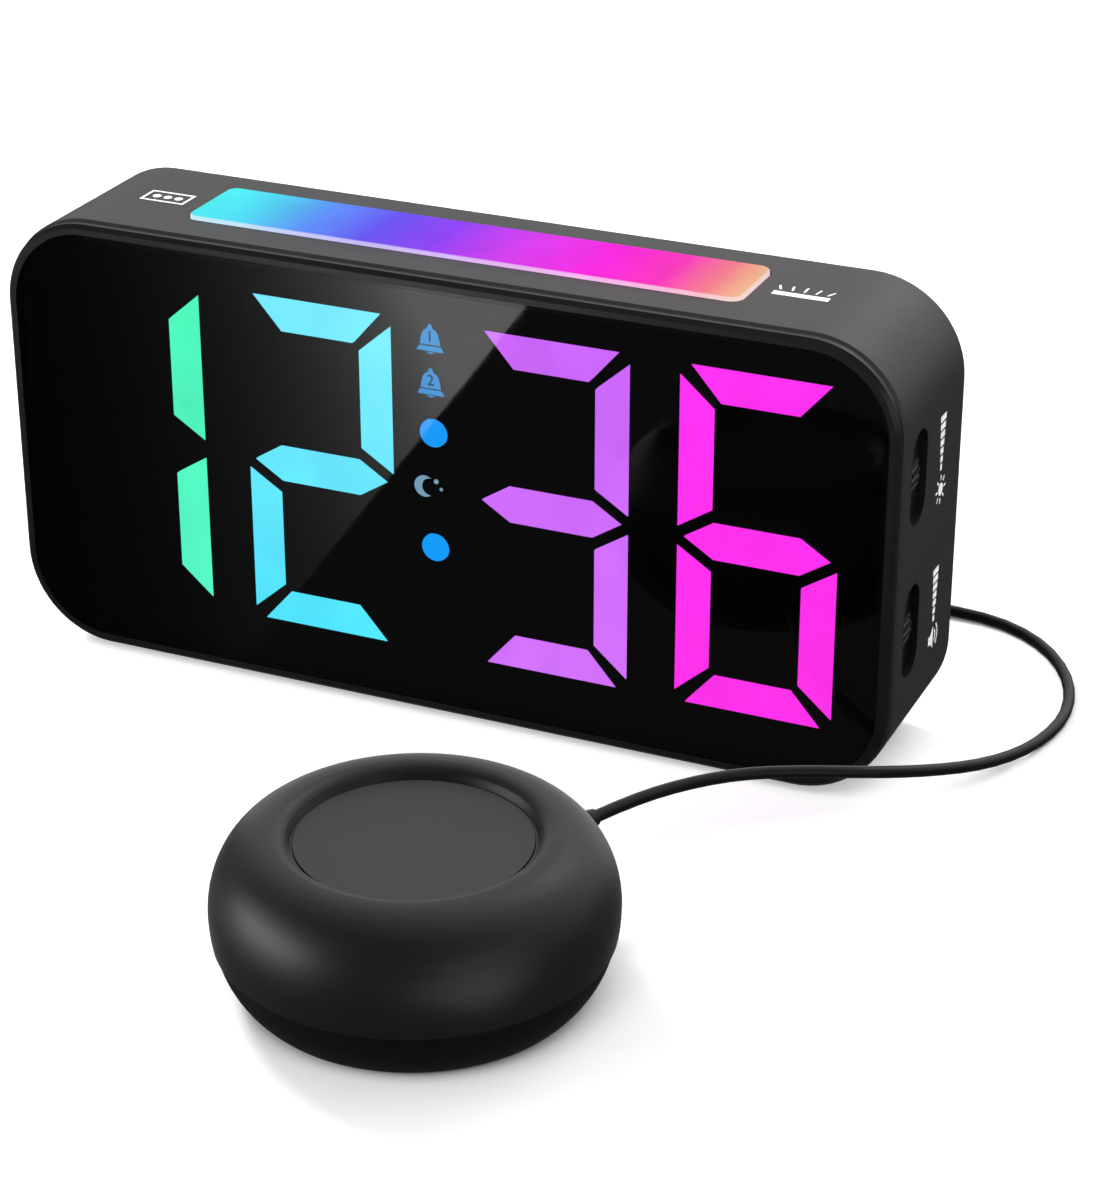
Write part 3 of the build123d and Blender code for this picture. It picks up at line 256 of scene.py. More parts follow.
# nylon keys and wheels: black with a slight shine
keyNylon = mouldedSurface(
    "keyNylon", "#050505", "#090909", rough=0.42, grain=0.35, depth=0.006, IOR=1.53,
    Specular_IOR_Level=0.3,
)
# PVC cord jacket: black, smooth, a little waxy
jacketPvc = mouldedSurface(
    "jacketPvc", "#050505", "#090909", rough=0.38, grain=0.6, depth=0.004, IOR=1.54,
    Specular_IOR_Level=0.25,
)
# silicone feet and the tie: dull black
padSilicone = mouldedSurface(
    "padSilicone", "#131313", "#191919", rough=0.75, grain=0.5, depth=0.01, IOR=1.41
)
# unlit light guides and their cells: black, with next to no shine
cellAbs = mouldedSurface(
    "cellAbs", "#020202", "#040404", rough=0.8, grain=0.5, depth=0.004, IOR=1.45,
    Specular_IOR_Level=0.1,
)
# ABS left white, to spread the light bar's lamps
whiteAbs = mouldedSurface(
    "whiteAbs", "#d9d9d6", "#e4e4e1", rough=0.5, grain=0.5, depth=0.006, IOR=1.53
)
# glass-fibre board under green solder mask
boardLaminate = mouldedSurface(
    "boardLaminate", "#0d4a24", "#14592d", rough=0.35, grain=0.8, depth=0.01, IOR=1.55
)
# moulding epoxy round the chips: dark grey, dull
chipEpoxy = mouldedSurface(
    "chipEpoxy", "#141415", "#1b1b1c", rough=0.6, grain=0.2, depth=0.01, IOR=1.55
)
# zinc-plated steel: bright grey with a faint mottle
zincSteel = mouldedSurface(
    "zincSteel", "#a9abac", "#bcbebf", rough=0.3, grain=0.6, depth=0.004, Metallic=1.0
)
# nickel-plated steel of the cell and the motor's can: warmer and smoother
nickelSteel = mouldedSurface(
    "nickelSteel", "#b9b4a6", "#c8c4b8", rough=0.25, grain=0.5, depth=0.003, Metallic=1.0
)
# brass of the turned weight
turnedBrass = mouldedSurface(
    "turnedBrass", "#b08a3c", "#c19a4a", rough=0.28, grain=0.3, depth=0.004, Metallic=1.0
)
# pressed paper of the speaker's cone: black and fibrous
conePaper = mouldedSurface(
    "conePaper", "#151515", "#1f1f1f", rough=0.85, grain=0.7, depth=0.03
)
# pad-printed ink: white, dry, a little uneven
printInk = mouldedSurface("printInk", "#d6d6d6", "#ececec", rough=0.7, grain=0.3, depth=0.004)

# smoked acrylic, polished: black from outside, and light behind it shows through
smoke = {
    "colour": "#020203",
    "alpha": 0.5,
    "rough": (0.015, 0.035),  # from its clearest to its haziest places
    "haze": 30.0,
    "hazeDetail": 2.0,
}
smokedAcrylic = newMaterial(
    "smokedAcrylic", Base_Color=linear(smoke["colour"]), IOR=1.49, Alpha=smoke["alpha"]
)
smokePlace = addNode(smokedAcrylic, "ShaderNodeTexCoord").outputs["Object"]
smokeHaze = addNode(
    smokedAcrylic, "ShaderNodeTexNoise",
    {"Vector": smokePlace, "Scale": 1 / (smoke["haze"] * mm), "Detail": smoke["hazeDetail"]},
)
smokePolish = addNode(
    smokedAcrylic, "ShaderNodeMapRange",
    {
        "Value": smokeHaze.outputs["Fac"],
        "To Min": smoke["rough"][0], "To Max": smoke["rough"][1],
    },
)
setShader(smokedAcrylic, Roughness=smokePolish.outputs[0])

guides = {
    "body": "#101010",
    "glow": 4.2,  # two faces of half-clear acrylic stand before the guides
    "dimmest": 0.85,  # shares of the glow
    "brightest": 1.1,
    "mottle": 9.0,
    "mottleDetail": 1.0,
    "bottom": 11.65,  # the figures' feet and tops
    "top": 70.95,
}


def litGuide(name, low, high):
    # frosted acrylic over its own lamps: an even glow that shifts a little in colour up the figure
    material = newMaterial(name, Base_Color=linear(guides["body"]), Roughness=0.5, IOR=1.49)
    place = addNode(material, "ShaderNodeTexCoord").outputs["Object"]
    split = addNode(material, "ShaderNodeSeparateXYZ", {0: place})
    rise = addNode(
        material, "ShaderNodeMapRange",
        {
            "Value": split.outputs["Z"],
            "From Min": guides["bottom"] * mm, "From Max": guides["top"] * mm,
        },
    )
    mottle = addNode(
        material, "ShaderNodeTexNoise",
        {"Vector": place, "Scale": 1 / (guides["mottle"] * mm), "Detail": guides["mottleDetail"]},
    )
    glow = addNode(
        material, "ShaderNodeMapRange",
        {
            "Value": mottle.outputs["Fac"],
            "To Min": guides["dimmest"] * guides["glow"],
            "To Max": guides["brightest"] * guides["glow"],
        },
    )
    colour = addNode(
        material, "ShaderNodeMix",
        {0: rise.outputs[0], 6: linear(low), 7: linear(high)}, data_type="RGBA",
    )
    setShader(material, Emission_Color=colour.outputs[2], Emission_Strength=glow.outputs[0])
    return material


greenGuide = litGuide("greenGuide", "#55f5c6", "#49f0b4")
cyanGuide = litGuide("cyanGuide", "#4fe2fb", "#72e7fb")
purpleGuide = litGuide("purpleGuide", "#d070fa", "#c864f6")
magentaGuide = litGuide("magentaGuide", "#fb2fe8", "#fd2ff1")
blueGuide = litGuide("blueGuide", "#0b9af7", "#1095f2")
# printed film over small lamps, for the signs behind the lens: blue, and a paler, greyer one
signFilm = litGuide("signFilm", "#1280c6", "#1a88cc")
paleFilm = litGuide("paleFilm", "#6d93ad", "#7ba1b9")

# Light bar: opal acrylic over a row of coloured lamps
lightBar = {
    "length": 98.6,
    "rimHeight": 79.95,  # its walls glow paler up to here, a painted highlight along the rim
    "topHeight": 80.15,
    # the painted rim highlight's colour, and its share of the walls' glow
    "rimHighlightColour": "#fff4ff",
    "rimHighlightShare": 0.55,
    "body": "#060606",
    "glow": 0.95,
    "dimmest": 0.85,  # shares of the glow
    "brightest": 1.15,
    "spots": 12.0,
    "spotDetail": 1.0,
    "colours": [  # from its left end to its right
        (0.0, "#48f4f6"), (0.1, "#4cdcf8"), (0.21, "#5890f8"), (0.33, "#6450f6"),
        (0.45, "#903af8"), (0.58, "#d836f6"), (0.74, "#fc0ce2"), (0.86, "#fb2cbc"),
        (0.94, "#f97e8e"), (1.0, "#f8c292"),
    ],
}
opalAcrylic = newMaterial(
    "opalAcrylic", Base_Color=linear(lightBar["body"]), Roughness=0.35, IOR=1.49,
    Specular_IOR_Level=0.01,
)
barPlace = addNode(opalAcrylic, "ShaderNodeTexCoord").outputs["Object"]
barSplit = addNode(opalAcrylic, "ShaderNodeSeparateXYZ", {0: barPlace})
barAlong = addNode(
    opalAcrylic, "ShaderNodeMapRange",
    {
        "Value": barSplit.outputs["X"],
        "From Min": -lightBar["length"] / 2 * mm, "From Max": lightBar["length"] / 2 * mm,
    },
)
barRamp = addNode(opalAcrylic, "ShaderNodeValToRGB", {"Fac": barAlong.outputs[0]})
stops = barRamp.color_ramp.elements
for count, (place, colour) in enumerate(lightBar["colours"]):
    stop = stops[count] if count < 2 else stops.new(place)  # a ramp comes with two
    stop.position, stop.color = place, linear(colour)
# painted highlight: below the top, the bar's walls mix a near-white into their glow
barRimHighlight = addNode(
    opalAcrylic, "ShaderNodeMapRange",
    {
        "Value": barSplit.outputs["Z"],
        "From Min": lightBar["topHeight"] * mm, "From Max": lightBar["rimHeight"] * mm,
    },
)
barRimHighlightShare = addNode(
    opalAcrylic, "ShaderNodeMath", {0: barRimHighlight.outputs[0], 1: lightBar["rimHighlightShare"]},
    operation="MULTIPLY",
)
barColour = addNode(
    opalAcrylic, "ShaderNodeMix",
    {0: barRimHighlightShare.outputs[0], 6: barRamp.outputs["Color"], 7: linear(lightBar["rimHighlightColour"])},
    data_type="RGBA",
)
barSpots = addNode(
    opalAcrylic, "ShaderNodeTexNoise",
    {"Vector": barPlace, "Scale": 1 / (lightBar["spots"] * mm), "Detail": lightBar["spotDetail"]},
)
barGlow = addNode(
    opalAcrylic, "ShaderNodeMapRange",
    {
        "Value": barSpots.outputs["Fac"],
        "To Min": lightBar["dimmest"] * lightBar["glow"],
        "To Max": lightBar["brightest"] * lightBar["glow"],
    },
)
setShader(opalAcrylic, Emission_Color=barColour.outputs[2], Emission_Strength=barGlow.outputs[0])

finishes = {
    sleeveAbs: ["housing_sleeve", "rear_cover"],
    frameAbs: ["front_bezel"],
    smokedAcrylic: ["display_lens"],
    cellAbs: ["digit_reflector", "dark_segments"],
    greenGuide: ["hour_tens_figure"],
    cyanGuide: ["hour_units_figure"],
    purpleGuide: ["minute_tens_figure"],
    magentaGuide: ["minute_units_figure"],
    blueGuide: ["colon_dots"],
    opalAcrylic: ["light_bar"],
    whiteAbs: ["light_tray", "strip_leds"],
    boardLaminate: ["display_board", "main_board", "strip_board"],
    chipEpoxy: ["main_chips"],
    keyNylon: [
        "dimmer_wheel", "volume_wheel", "time_button", "alarm_one_button", "alarm_two_button",
        "minus_button", "plus_button", "mode_slider", "battery_door", "bar_switches",
        "button_switches", "mode_switch", "wheel_pots", "power_jack", "shaker_jack",
        "cell_holder", "speaker_frame",
    ],
    zincSteel: [
        "cover_screws", "board_screws", "puck_screws", "clamp_screws", "motor_clamp",
        "speaker_magnet",
    ],
    nickelSteel: ["coin_cell", "shaker_motor"],
    turnedBrass: ["eccentric_weight"],
    conePaper: ["speaker_cone"],
    padSilicone: ["base_pad", "puck_foot_ring", "cord_tie"],
    softTouchCoat: ["puck_top_shell"],
    baseAbs: ["puck_bottom_shell"],
    inlayAbs: ["puck_inlay"],
    jacketPvc: ["cord_grommet", "shaker_plug", "cord_run", "cord_coil", "cord_lead"],
}
for material, names in finishes.items():
    for name in names:
        nodes[name].material_slots[0].material = material
shakerCord.data.materials.append(jacketPvc)
print("finishes on", sum(len(names) for names in finishes.values()), "pieces")


def meshObject(name, mesh, material):
    data = bpy.data.meshes.new(name)
    mesh.to_mesh(data)
    mesh.free()
    data.materials.append(material)
    return addObject(name, data)


def placed(turn, x, y, z):
    # a flat shape stood up on a wall: 0 faces the front, 90 the right side, 180 the back,
    # and None leaves it lying face up
    place = Matrix.Translation(Vector((x, y, z)) * mm)
    if turn is None:
        return place
    upright = Matrix.Rotation(math.radians(90), 4, "X")
    return place @ Matrix.Rotation(math.radians(turn), 4, "Z") @ upright


# Painted shade: black cups laid in the two finger scoops, darkening them where their shade falls,
# open where the wheels come through
scoopShadeLiner = {
    "wall": 80.0,  # the sleeve's right face
    "depthwise": -6.7,
    "heights": {"dimmerShadeLiner": 55.2, "volumeShadeLiner": 28.4},
    "tall": 16.1,
    "wide": 7.8,
    "deep": 1.3,
    "sheet": 0.1,
    "slotTall": 10.1,
    "slotWide": 4.5,
    "segments": 48,
    "waist": 0.01,  # corners no further than this from mid-height stay there
}


def linerMesh():
    mesh = bmesh.new()
    down = (0, 0, -scoopShadeLiner["deep"] * mm)
    rim = bmesh.ops.create_circle(
        mesh, segments=scoopShadeLiner["segments"], radius=scoopShadeLiner["wide"] / 2 * mm
    )["verts"]
    stretch = (scoopShadeLiner["tall"] - scoopShadeLiner["wide"]) / 2 * mm
    for side in (-1, 1):
        end = [vert for vert in rim if vert.co.y * side > scoopShadeLiner["waist"] * mm]
        bmesh.ops.translate(mesh, verts=end, vec=(0, side * stretch, 0))
    wall = bmesh.ops.extrude_edge_only(mesh, edges=mesh.edges[:])["geom"]
    foot = [item for item in wall if isinstance(item, bmesh.types.BMVert)]
    bmesh.ops.translate(mesh, verts=foot, vec=down)
    # a square with sides of 1 mm, stretched to the slot
    slot = bmesh.ops.create_circle(mesh, segments=4, radius=math.sqrt(0.5) * mm)["verts"]
    bmesh.ops.rotate(mesh, verts=slot, matrix=Matrix.Rotation(math.radians(45), 3, "Z"))
    bmesh.ops.scale(mesh, verts=slot, vec=(scoopShadeLiner["slotWide"], scoopShadeLiner["slotTall"], 1))
    bmesh.ops.translate(mesh, verts=slot, vec=down)
    footAndSlot = (set(foot), set(slot))
    loops = [edge for edge in mesh.edges if any(set(edge.verts) <= loop for loop in footAndSlot)]
    bmesh.ops.bridge_loops(mesh, edges=loops)
    bmesh.ops.recalc_face_normals(mesh, faces=mesh.faces[:])
    bmesh.ops.solidify(mesh, geom=mesh.faces[:], thickness=scoopShadeLiner["sheet"] * mm)
    return mesh


for name, height in scoopShadeLiner["heights"].items():
    mesh = linerMesh()
    mesh.transform(placed(90, scoopShadeLiner["wall"], scoopShadeLiner["depthwise"], height))
    # black nylon cups, as painted shade in the scoops
    shadeLiner = meshObject(name, mesh, keyNylon)
    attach(shadeLiner, "clock")
print("scoop liners in")

# Signs: lit ones behind the lens, printed ones on the sleeve and the rear cover
signs = {
    "thick": 0.08,
    "stroke": 0.42,
    "curveSteps": 8,
    "strokeSteps": 1,
    "weld": 0.0005,
    "figureTall": 2.7,  # of the numbers on the bells
    "figureRise": 0.35,
}


def sharp(*corners):
    return [(*corner, "VECTOR") for corner in corners]


def block(x, y, wide, tall):
    left, right, low, high = x - wide / 2, x + wide / 2, y - tall / 2, y + tall / 2
    return sharp((left, low), (right, low), (right, high), (left, high))


def ring(x, y, radius):
    return [(x + radius, y), (x, y + radius), (x - radius, y), (x, y - radius)]


def arc(x, y, radius, start, end, steps):
    turns = [math.radians(start + (end - start) * step / steps) for step in range(steps + 1)]
    return [(x + radius * math.cos(turn), y + radius * math.sin(turn)) for turn in turns]


def addFlat(mesh, carrier, press):
    # adds a curve or a figure, pressed to the signs' thickness, on the plane that it stands on
    flat = bpy.data.meshes.new_from_object(carrier)
    before = set(mesh.verts)
    mesh.from_mesh(flat)
    fresh = [vert for vert in mesh.verts if vert not in before]
    bmesh.ops.scale(mesh, verts=fresh, vec=(1, 1, press))
    bmesh.ops.translate(mesh, verts=fresh, vec=(0, 0, signs["thick"] / 2 * mm))
    bpy.data.objects.remove(carrier)


def layOutlines(mesh, outlines, filled, stroke):
    # filled shapes, where a shape inside another is a hole, or lines as wide as a stroke
    curve = bpy.data.curves.new("sign", "CURVE")
    curve.dimensions = "2D" if filled else "3D"
    curve.resolution_u = signs["curveSteps"]
    if filled:
        curve.fill_mode = "BOTH"
        curve.extrude = signs["thick"] / 2 * mm
    else:
        curve.bevel_depth = stroke / 2 * mm
        curve.bevel_resolution = signs["strokeSteps"]
        curve.use_fill_caps = True
    for knots in outlines:
        line = curve.splines.new("BEZIER")
        line.bezier_points.add(len(knots) - 1)
        line.use_cyclic_u = filled
        for point, knot in zip(line.bezier_points, knots):
            point.co = (knot[0] * mm, knot[1] * mm, 0)
            handle = knot[2] if len(knot) > 2 else "AUTO"
            point.handle_left_type = point.handle_right_type = handle
    press = 1.0 if filled else signs["thick"] / stroke
    addFlat(mesh, bpy.data.objects.new("sign", curve), press)


def newSign(name, material, place, filled=(), strokes=(), stroke=signs["stroke"], figure=None):
    mesh = bmesh.new()
    if filled:
        layOutlines(mesh, filled, True, stroke)
    if strokes:
        layOutlines(mesh, strokes, False, stroke)
    if figure:
        number = bpy.data.curves.new("figure", "FONT")
        number.body, number.size = figure, signs["figureTall"] * mm
        number.align_x, number.align_y = "CENTER", "CENTER"
        number.extrude = signs["thick"] / 2 * mm
        addFlat(mesh, bpy.data.objects.new("figure", number), 1.0)
    bmesh.ops.remove_doubles(mesh, verts=mesh.verts[:], dist=signs["weld"] * mm)
    mesh.transform(place)
    sign = meshObject(name, mesh, material)
    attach(sign, "clock")


# outlines, each drawn about its own middle
bell = [
    [
        (-1.8, -1.0, "VECTOR"), (-1.6, 0.2), (-1.15, 1.35), (-0.45, 1.85), (-0.3, 2.35),
        (0, 2.55), (0.3, 2.35), (0.45, 1.85), (1.15, 1.35), (1.6, 0.2), (1.8, -1.0, "VECTOR"),
    ],
    sharp((-1.9, -1.25), (1.9, -1.25), (2.45, -2.1), (-2.45, -2.1)),
    [(-0.75, -2.3, "VECTOR"), (0, -2.6), (0.75, -2.3, "VECTOR")],
]
moonOuter = arc(0, 0, 1.9, 55, 305, 8)
moonInner = arc(1.05, 0, 1.56, 265, 95, 5)
moon = [
    sharp(moonOuter[0]) + moonOuter[1:-1] + sharp(moonOuter[-1]) + moonInner,
    ring(2.1, 1.15, 0.42), ring(3.0, -0.1, 0.3),
]
sunDisc = [ring(0, 0, 1.05)]
sunRays = [
    sharp(*[(reach * math.cos(turn), reach * math.sin(turn)) for reach in (1.6, 2.5)])
    for turn in [math.radians(45 * step) for step in range(8)]
]
speakerBox = [
    sharp((-2.5, -0.75), (-1.5, -0.75), (-0.25, -1.9), (-0.25, 1.9), (-1.5, 0.75), (-2.5, 0.75))
]
speakerWaves = [arc(-0.5, 0, reach, -45, 45, 3) for reach in (1.5, 2.6)]
screenFrame = [block(0, 0, 8.4, 4.8), block(0, 0, 7.5, 3.9)]
screenDots = [ring(x, 0, 0.75) for x in (-2.1, 0, 2.1)]
lampBar = [block(0, -1.5, 9.4, 1.5)]
lampRays = [
    sharp((0.85 * x, 0.1), (x, 2.2 - 0.08 * abs(x))) for x in (-4.6, -2.3, 0, 2.3, 4.6)
]
dial = [ring(0, 0, 1.9), ring(0, 0, 1.5)]
dialHands = [sharp((0, 1.0), (0, 0), (0.75, -0.4))]
minusBar = [block(0, 0, 2.8, 0.6)]
plusBars = [sharp((-1.4, 0), (1.4, 0)), sharp((0, -1.4), (0, 1.4))]
shakerDisc = [ring(0, 0, 0.85)]
shakerWaves = [
    arc(0, 0, reach, turn - 40, turn + 40, 3) for reach in (1.4, 2.0) for turn in (0, 180)
]
directCurrent = [block(0, 0.5, 2.9, 0.4)] + [block(x, -0.4, 0.7, 0.4) for x in (-1.1, 0, 1.1)]


def newBell(prefix, count, material, place):
    newSign(f"{prefix}{count}", material, place, bell)
    onTop = Matrix.Translation(Vector((0, signs["figureRise"], signs["thick"])) * mm)
    newSign(f"{prefix}Figure{count}", cellAbs, place @ onTop, figure=str(count))


lensSigns = {
    "face": -13.9,  # the lens's back
    "bellColumn": -0.8,
    "bells": (68.1, 60.5),
    "moon": (-2.2, 41.9),
}
for count, height in enumerate(lensSigns["bells"], 1):
    newBell("bell", count, signFilm, placed(0, lensSigns["bellColumn"], lensSigns["face"], height))
moonX, moonZ = lensSigns["moon"]
newSign("moon", paleFilm, placed(0, moonX, lensSigns["face"], moonZ), moon)

wallSigns = {
    "face": 80.0,
    "wedges": {"dimmerWedge": (5.0, 56.5), "volumeWedge": (5.6, 29.4)},  # depth and height
    "sun": (5.4, 48.2),
    "speaker": (6.0, 21.6),
    "bars": 7,  # to a wedge
    "pitch": 1.43,
    "barTall": 1.0,
    "widest": 2.7,
    "taper": 0.33,
}
wedge = [
    block(
        0, wallSigns["pitch"] * (wallSigns["bars"] // 2 - step),
        wallSigns["widest"] - wallSigns["taper"] * step, wallSigns["barTall"],
    )
    for step in range(wallSigns["bars"])
]
for name, spot in wallSigns["wedges"].items():
    newSign(name, printInk, placed(90, wallSigns["face"], *spot), wedge)
newSign("sun", printInk, placed(90, wallSigns["face"], *wallSigns["sun"]), sunDisc, sunRays)
newSign(
    "speaker", printInk, placed(90, wallSigns["face"], *wallSigns["speaker"]), speakerBox,
    speakerWaves,
)

topSigns = {"face": 79.5, "reach": 57.3, "middle": 1.2}
topLeft, topRight = [
    placed(None, side * topSigns["reach"], topSigns["middle"], topSigns["face"]) for side in (-1, 1)
]
newSign("screen", printInk, topLeft, screenFrame + screenDots)
newSign("lamp", printInk, topRight, lampBar, lampRays)

rearSigns = {
    "face": 16.15,
    "keyRow": 66.4,
    "dial": 50,
    "bells": (36, 22),
    "minus": 8,
    "plus": -6,
    "plusStroke": 0.6,
    "jackRow": 34.6,
    "power": 57,
    "shaker": 10,
}


def rearPlace(column, row):
    return placed(180, column, rearSigns["face"], rearSigns[row])


newSign("dial", printInk, rearPlace(rearSigns["dial"], "keyRow"), dial, dialHands)
for count, column in enumerate(rearSigns["bells"], 1):
    newBell("rearBell", count, printInk, rearPlace(column, "keyRow"))
newSign("minus", printInk, rearPlace(rearSigns["minus"], "keyRow"), minusBar)
newSign(
    "plus", printInk, rearPlace(rearSigns["plus"], "keyRow"), strokes=plusBars,
    stroke=rearSigns["plusStroke"],
)
newSign("powerSign", printInk, rearPlace(rearSigns["power"], "jackRow"), directCurrent)
newSign("shakerSign", printInk, rearPlace(rearSigns["shaker"], "jackRow"), shakerDisc, shakerWaves)
print("signs laid")


def sheet(wide, tall, place):
    mesh = bmesh.new()
    bmesh.ops.create_grid(mesh, x_segments=1, y_segments=1, size=0.5)  # half of its side
    bmesh.ops.scale(mesh, verts=mesh.verts[:], vec=(wide * mm, tall * mm, 1))
    mesh.transform(place)
    return mesh


# Floor: white paper, with painted light: it glows a little before the clock, where the clock's
# shade would lie
floorPaper = {
    "side": 8000.0,
    "paintedLightPlace": (5.0, -28.0),
    "paintedLightReach": (165.0, 66.0),
    # strength of the painted light on the floor
    "glow": 0.36,
    "paintedLightEdge": 0.5,  # share of the reach over which it fades out
}
backdropPaper = mouldedSurface(
    "backdropPaper", "#f0f0f0", "#f4f4f4", rough=0.8, grain=2.0, depth=0.001
)
paperPlace = addNode(backdropPaper, "ShaderNodeTexCoord").outputs["Object"]
paintedLightFitted = addNode(
    backdropPaper, "ShaderNodeMapping",
    {
        "Vector": paperPlace,
        "Location": (*[at * mm for at in floorPaper["paintedLightPlace"]], 0.0),
        "Scale": (*[reach * mm for reach in floorPaper["paintedLightReach"]], 1.0),
    },
    vector_type="TEXTURE",
)
paintedLightFall = addNode(
    backdropPaper, "ShaderNodeTexGradient", {0: paintedLightFitted.outputs[0]}, gradient_type="SPHERICAL"
)
paintedLightOnPaper = addNode(
    backdropPaper, "ShaderNodeMapRange",
    {
        "Value": paintedLightFall.outputs["Fac"], "From Max": floorPaper["paintedLightEdge"],
        "To Max": floorPaper["glow"],
    },
    interpolation_type="SMOOTHSTEP",
)
# painted light: the paper glows white over that oval, fading out at its edge
setShader(
    backdropPaper, Emission_Color=linear("#ffffff"), Emission_Strength=paintedLightOnPaper.outputs[0]
)
floorMesh = sheet(floorPaper["side"], floorPaper["side"], Matrix())
floor = meshObject("floor", floorMesh, backdropPaper)

# Sky: bright above and behind the clock, dark before it
softSky = {
    "towards": (0.1, 0.75, 0.65),
    "bright": 1.35,
    "dark": 0.06,
    "darkFrom": 0.2,  # of a scale on which the bright side is 1
}
world = bpy.data.worlds.new("softSky")
world.use_nodes = True
skyPlace = addNode(world, "ShaderNodeTexCoord").outputs["Generated"]
skyFacing = addNode(
    world, "ShaderNodeVectorMath", {0: skyPlace, 1: softSky["towards"]}, operation="DOT_PRODUCT"
)
skyGlow = addNode(
    world, "ShaderNodeMapRange",
    {
        "Value": skyFacing.outputs["Value"], "From Min": softSky["darkFrom"], "From Max": 1.0,
        "To Min": softSky["dark"], "To Max": softSky["bright"],
    },
)
feed(
    world, world.node_tree.nodes["Background"],
    {"Color": linear("#ffffff"), "Strength": skyGlow.outputs[0]},
)
bpy.context.scene.world = world

# Lamps: two that only light, and three soft boxes that also shine in what is glossy
lamps = {
    "key": {"place": (-620, 330, 700), "size": (300, 300), "power": 9.0, "shine": False},
    "fill": {"place": (250, -800, 900), "size": (900, 900), "power": 12.0, "shine": False},
    "leftBox": {"place": (-580, -440, 50), "size": (640, 400), "power": 5.2, "shine": True},
    "rightBox": {"place": (646, -431, 80), "size": (560, 560), "power": 1.1, "shine": True},
    "backBox": {"place": (222, 548, 628), "size": (380, 380), "power": 0.95, "shine": True},
}
for name, setup in lamps.items():
    light = bpy.data.lights.new(name, "AREA")
    light.shape = "RECTANGLE"
    light.size, light.size_y = [side * mm for side in setup["size"]]
    light.energy = setup["power"]
    holder = addObject(name, light)
    holder.location = Vector(setup["place"]) * mm
    holder.rotation_euler = (target - holder.location).to_track_quat("-Z", "Y").to_euler()
    holder.visible_glossy = setup["shine"]
    holder.visible_camera = False
print("room lit")


# Cards that only reflections show
def bareMaterial(name):
    material = bpy.data.materials.new(name)
    material.use_nodes = True
    material.node_tree.nodes.clear()
    return material


def glowPaper(name, glow):
    return newMaterial(
        name, Base_Color=linear("#000000"), Roughness=1.0, Specular_IOR_Level=0.0,
        Emission_Color=linear("#ffffff"), Emission_Strength=glow,
    )


# a glowing one on the floor, that the lens mirrors as its slanting gloss
glossCard = {
    "edge": [(-38.8, -15.0), (-70.0, -229.5)],  # its right side, from the clock outwards
    "left": -290.0,
    "end": -430.0,  # it fades out from the edge's far point to here
    "height": 1.0,
    "strength": 37.0,  # at the edge's far point
    "most": 3.8,
    "fadeAlong": 37.0,  # it falls to a third over this length towards the clock
    "fadeAside": 19.0,  # and over this one to the left
}
(nearX, nearY), (farX, farY) = glossCard["edge"]
leftX, endY = glossCard["left"], glossCard["end"]
endX = nearX + (farX - nearX) * (endY - nearY) / (farY - nearY)
cardMesh = bmesh.new()
cardCorners = [
    cardMesh.verts.new(Vector((x, y, glossCard["height"])) * mm)
    for x, y in ((nearX, nearY), (leftX, nearY), (leftX, endY), (endX, endY))
]
bmesh.ops.contextual_create(cardMesh, geom=cardCorners)
cardGlow = bareMaterial("cardGlow")
cardPlace = addNode(cardGlow, "ShaderNodeTexCoord").outputs["Object"]
cardAlong = Vector((farX - nearX, farY - nearY, 0)).normalized()
cardAside = Vector((cardAlong.y, -cardAlong.x, 0))
cardSlope = (cardAlong / glossCard["fadeAlong"] - cardAside / glossCard["fadeAside"]) / mm
cardFrom = addNode(
    cardGlow, "ShaderNodeVectorMath", {0: cardPlace, 1: Vector((farX, farY, 0)) * mm},
    operation="SUBTRACT",
)
cardFall = addNode(
    cardGlow, "ShaderNodeVectorMath", {0: cardFrom.outputs[0], 1: cardSlope},
    operation="DOT_PRODUCT",
)
cardFade = addNode(
    cardGlow, "ShaderNodeMath", {0: cardFall.outputs["Value"]}, operation="EXPONENT"
)
cardFull = addNode(
    cardGlow, "ShaderNodeMath", {0: cardFade.outputs[0], 1: glossCard["strength"]},
    operation="MULTIPLY",
)
cardCapped = addNode(
    cardGlow, "ShaderNodeMath", {0: cardFull.outputs[0], 1: glossCard["most"]},
    operation="MINIMUM",
)
cardSplit = addNode(cardGlow, "ShaderNodeSeparateXYZ", {0: cardPlace})
cardEnd = addNode(
    cardGlow, "ShaderNodeMapRange",
    {"Value": cardSplit.outputs["Y"], "From Min": endY * mm, "From Max": farY * mm},
    interpolation_type="SMOOTHSTEP",
)
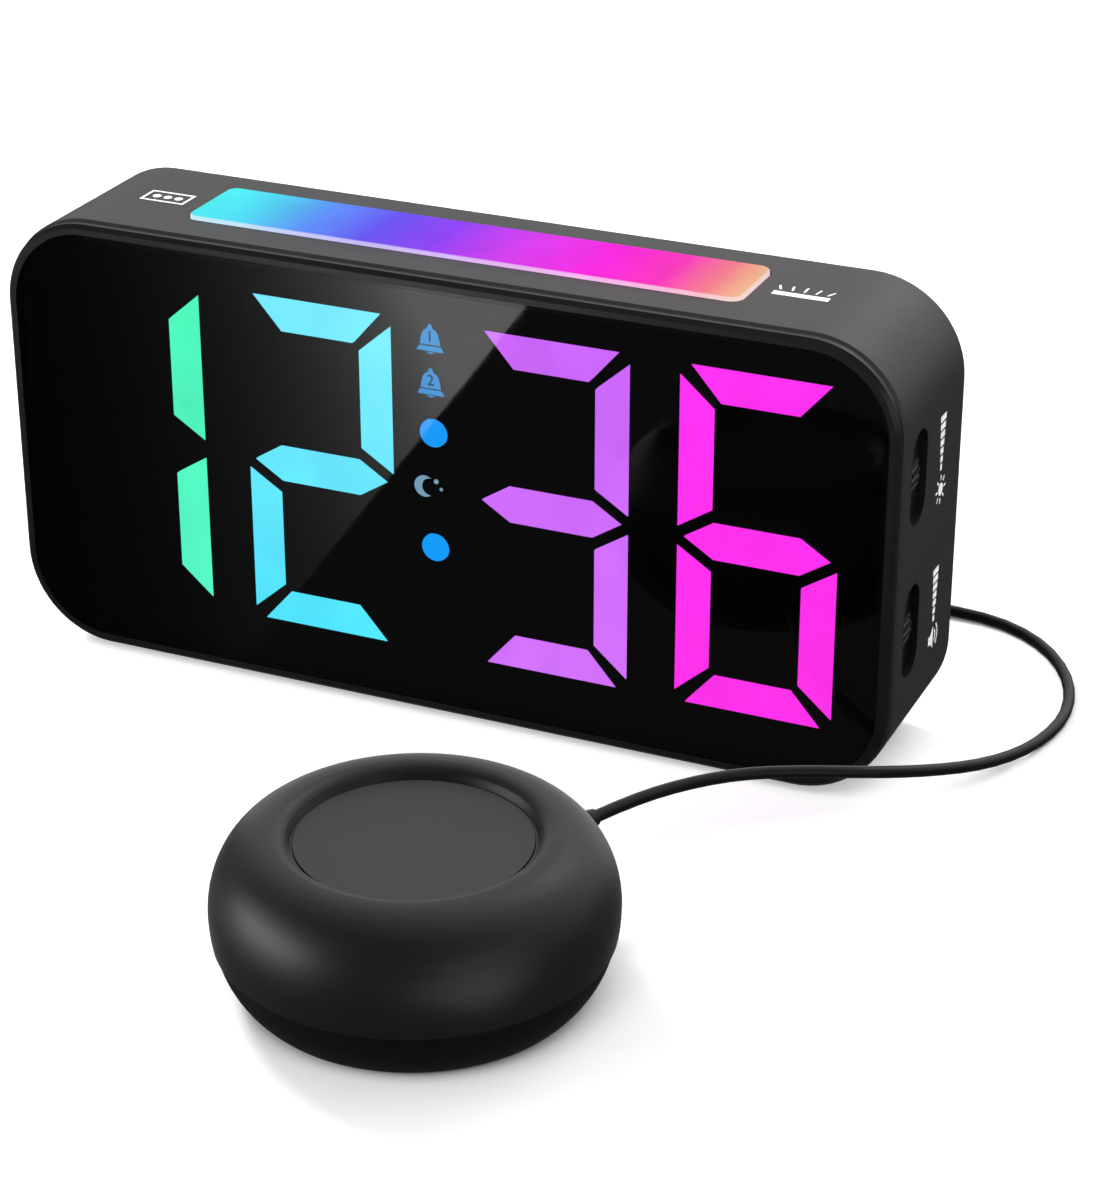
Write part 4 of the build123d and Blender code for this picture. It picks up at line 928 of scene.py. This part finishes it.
cardStrength = addNode(
    cardGlow, "ShaderNodeMath", {0: cardCapped.outputs[0], 1: cardEnd.outputs[0]},
    operation="MULTIPLY",
)
cardLight = addNode(cardGlow, "ShaderNodeEmission", {"Strength": cardStrength.outputs[0]})
addNode(cardGlow, "ShaderNodeOutputMaterial", {"Surface": cardLight.outputs[0]})

# a dark one under it, that hides the white floor from reflections
darkFlag = {"side": 3000.0, "height": 0.5, "glow": 0.1}
flagMesh = sheet(darkFlag["side"], darkFlag["side"], placed(None, 0, 0, darkFlag["height"]))
flagFelt = glowPaper("flagFelt", darkFlag["glow"])

# a pale patch on the floor, for the shaker's flank
floorPatch = {"middle": (187.5, -210.0, 1.0), "wide": 225.0, "tall": 180.0, "glow": 1.7}
patchMesh = sheet(floorPatch["wide"], floorPatch["tall"], placed(None, *floorPatch["middle"]))
patchPaper = glowPaper("patchPaper", floorPatch["glow"])

# one before the clock, for the shaker's back rim: it glows on its front alone, and the lens
# looks out through its back
screenCard = {"middle": (0.0, -17.5, 39.5), "wide": 158.0, "tall": 78.0, "glow": 1.0}
screenMesh = sheet(screenCard["wide"], screenCard["tall"], placed(0, *screenCard["middle"]))
screenScrim = bareMaterial("screenScrim")
scrimSide = addNode(screenScrim, "ShaderNodeNewGeometry").outputs["Backfacing"]
scrimLight = addNode(screenScrim, "ShaderNodeEmission", {"Strength": screenCard["glow"]})
scrimClear = addNode(screenScrim, "ShaderNodeBsdfTransparent")
scrimMix = addNode(
    screenScrim, "ShaderNodeMixShader",
    {0: scrimSide, 1: scrimLight.outputs[0], 2: scrimClear.outputs[0]},
)
addNode(screenScrim, "ShaderNodeOutputMaterial", {"Surface": scrimMix.outputs[0]})

for name, mesh, material in (
    ("glossCard", cardMesh, cardGlow), ("darkFlag", flagMesh, flagFelt),
    ("floorPatch", patchMesh, patchPaper), ("screenCard", screenMesh, screenScrim),
):
    card = meshObject(name, mesh, material)
    card.visible_camera = card.visible_diffuse = False
    card.visible_transmission = card.visible_shadow = False
print("cards set")
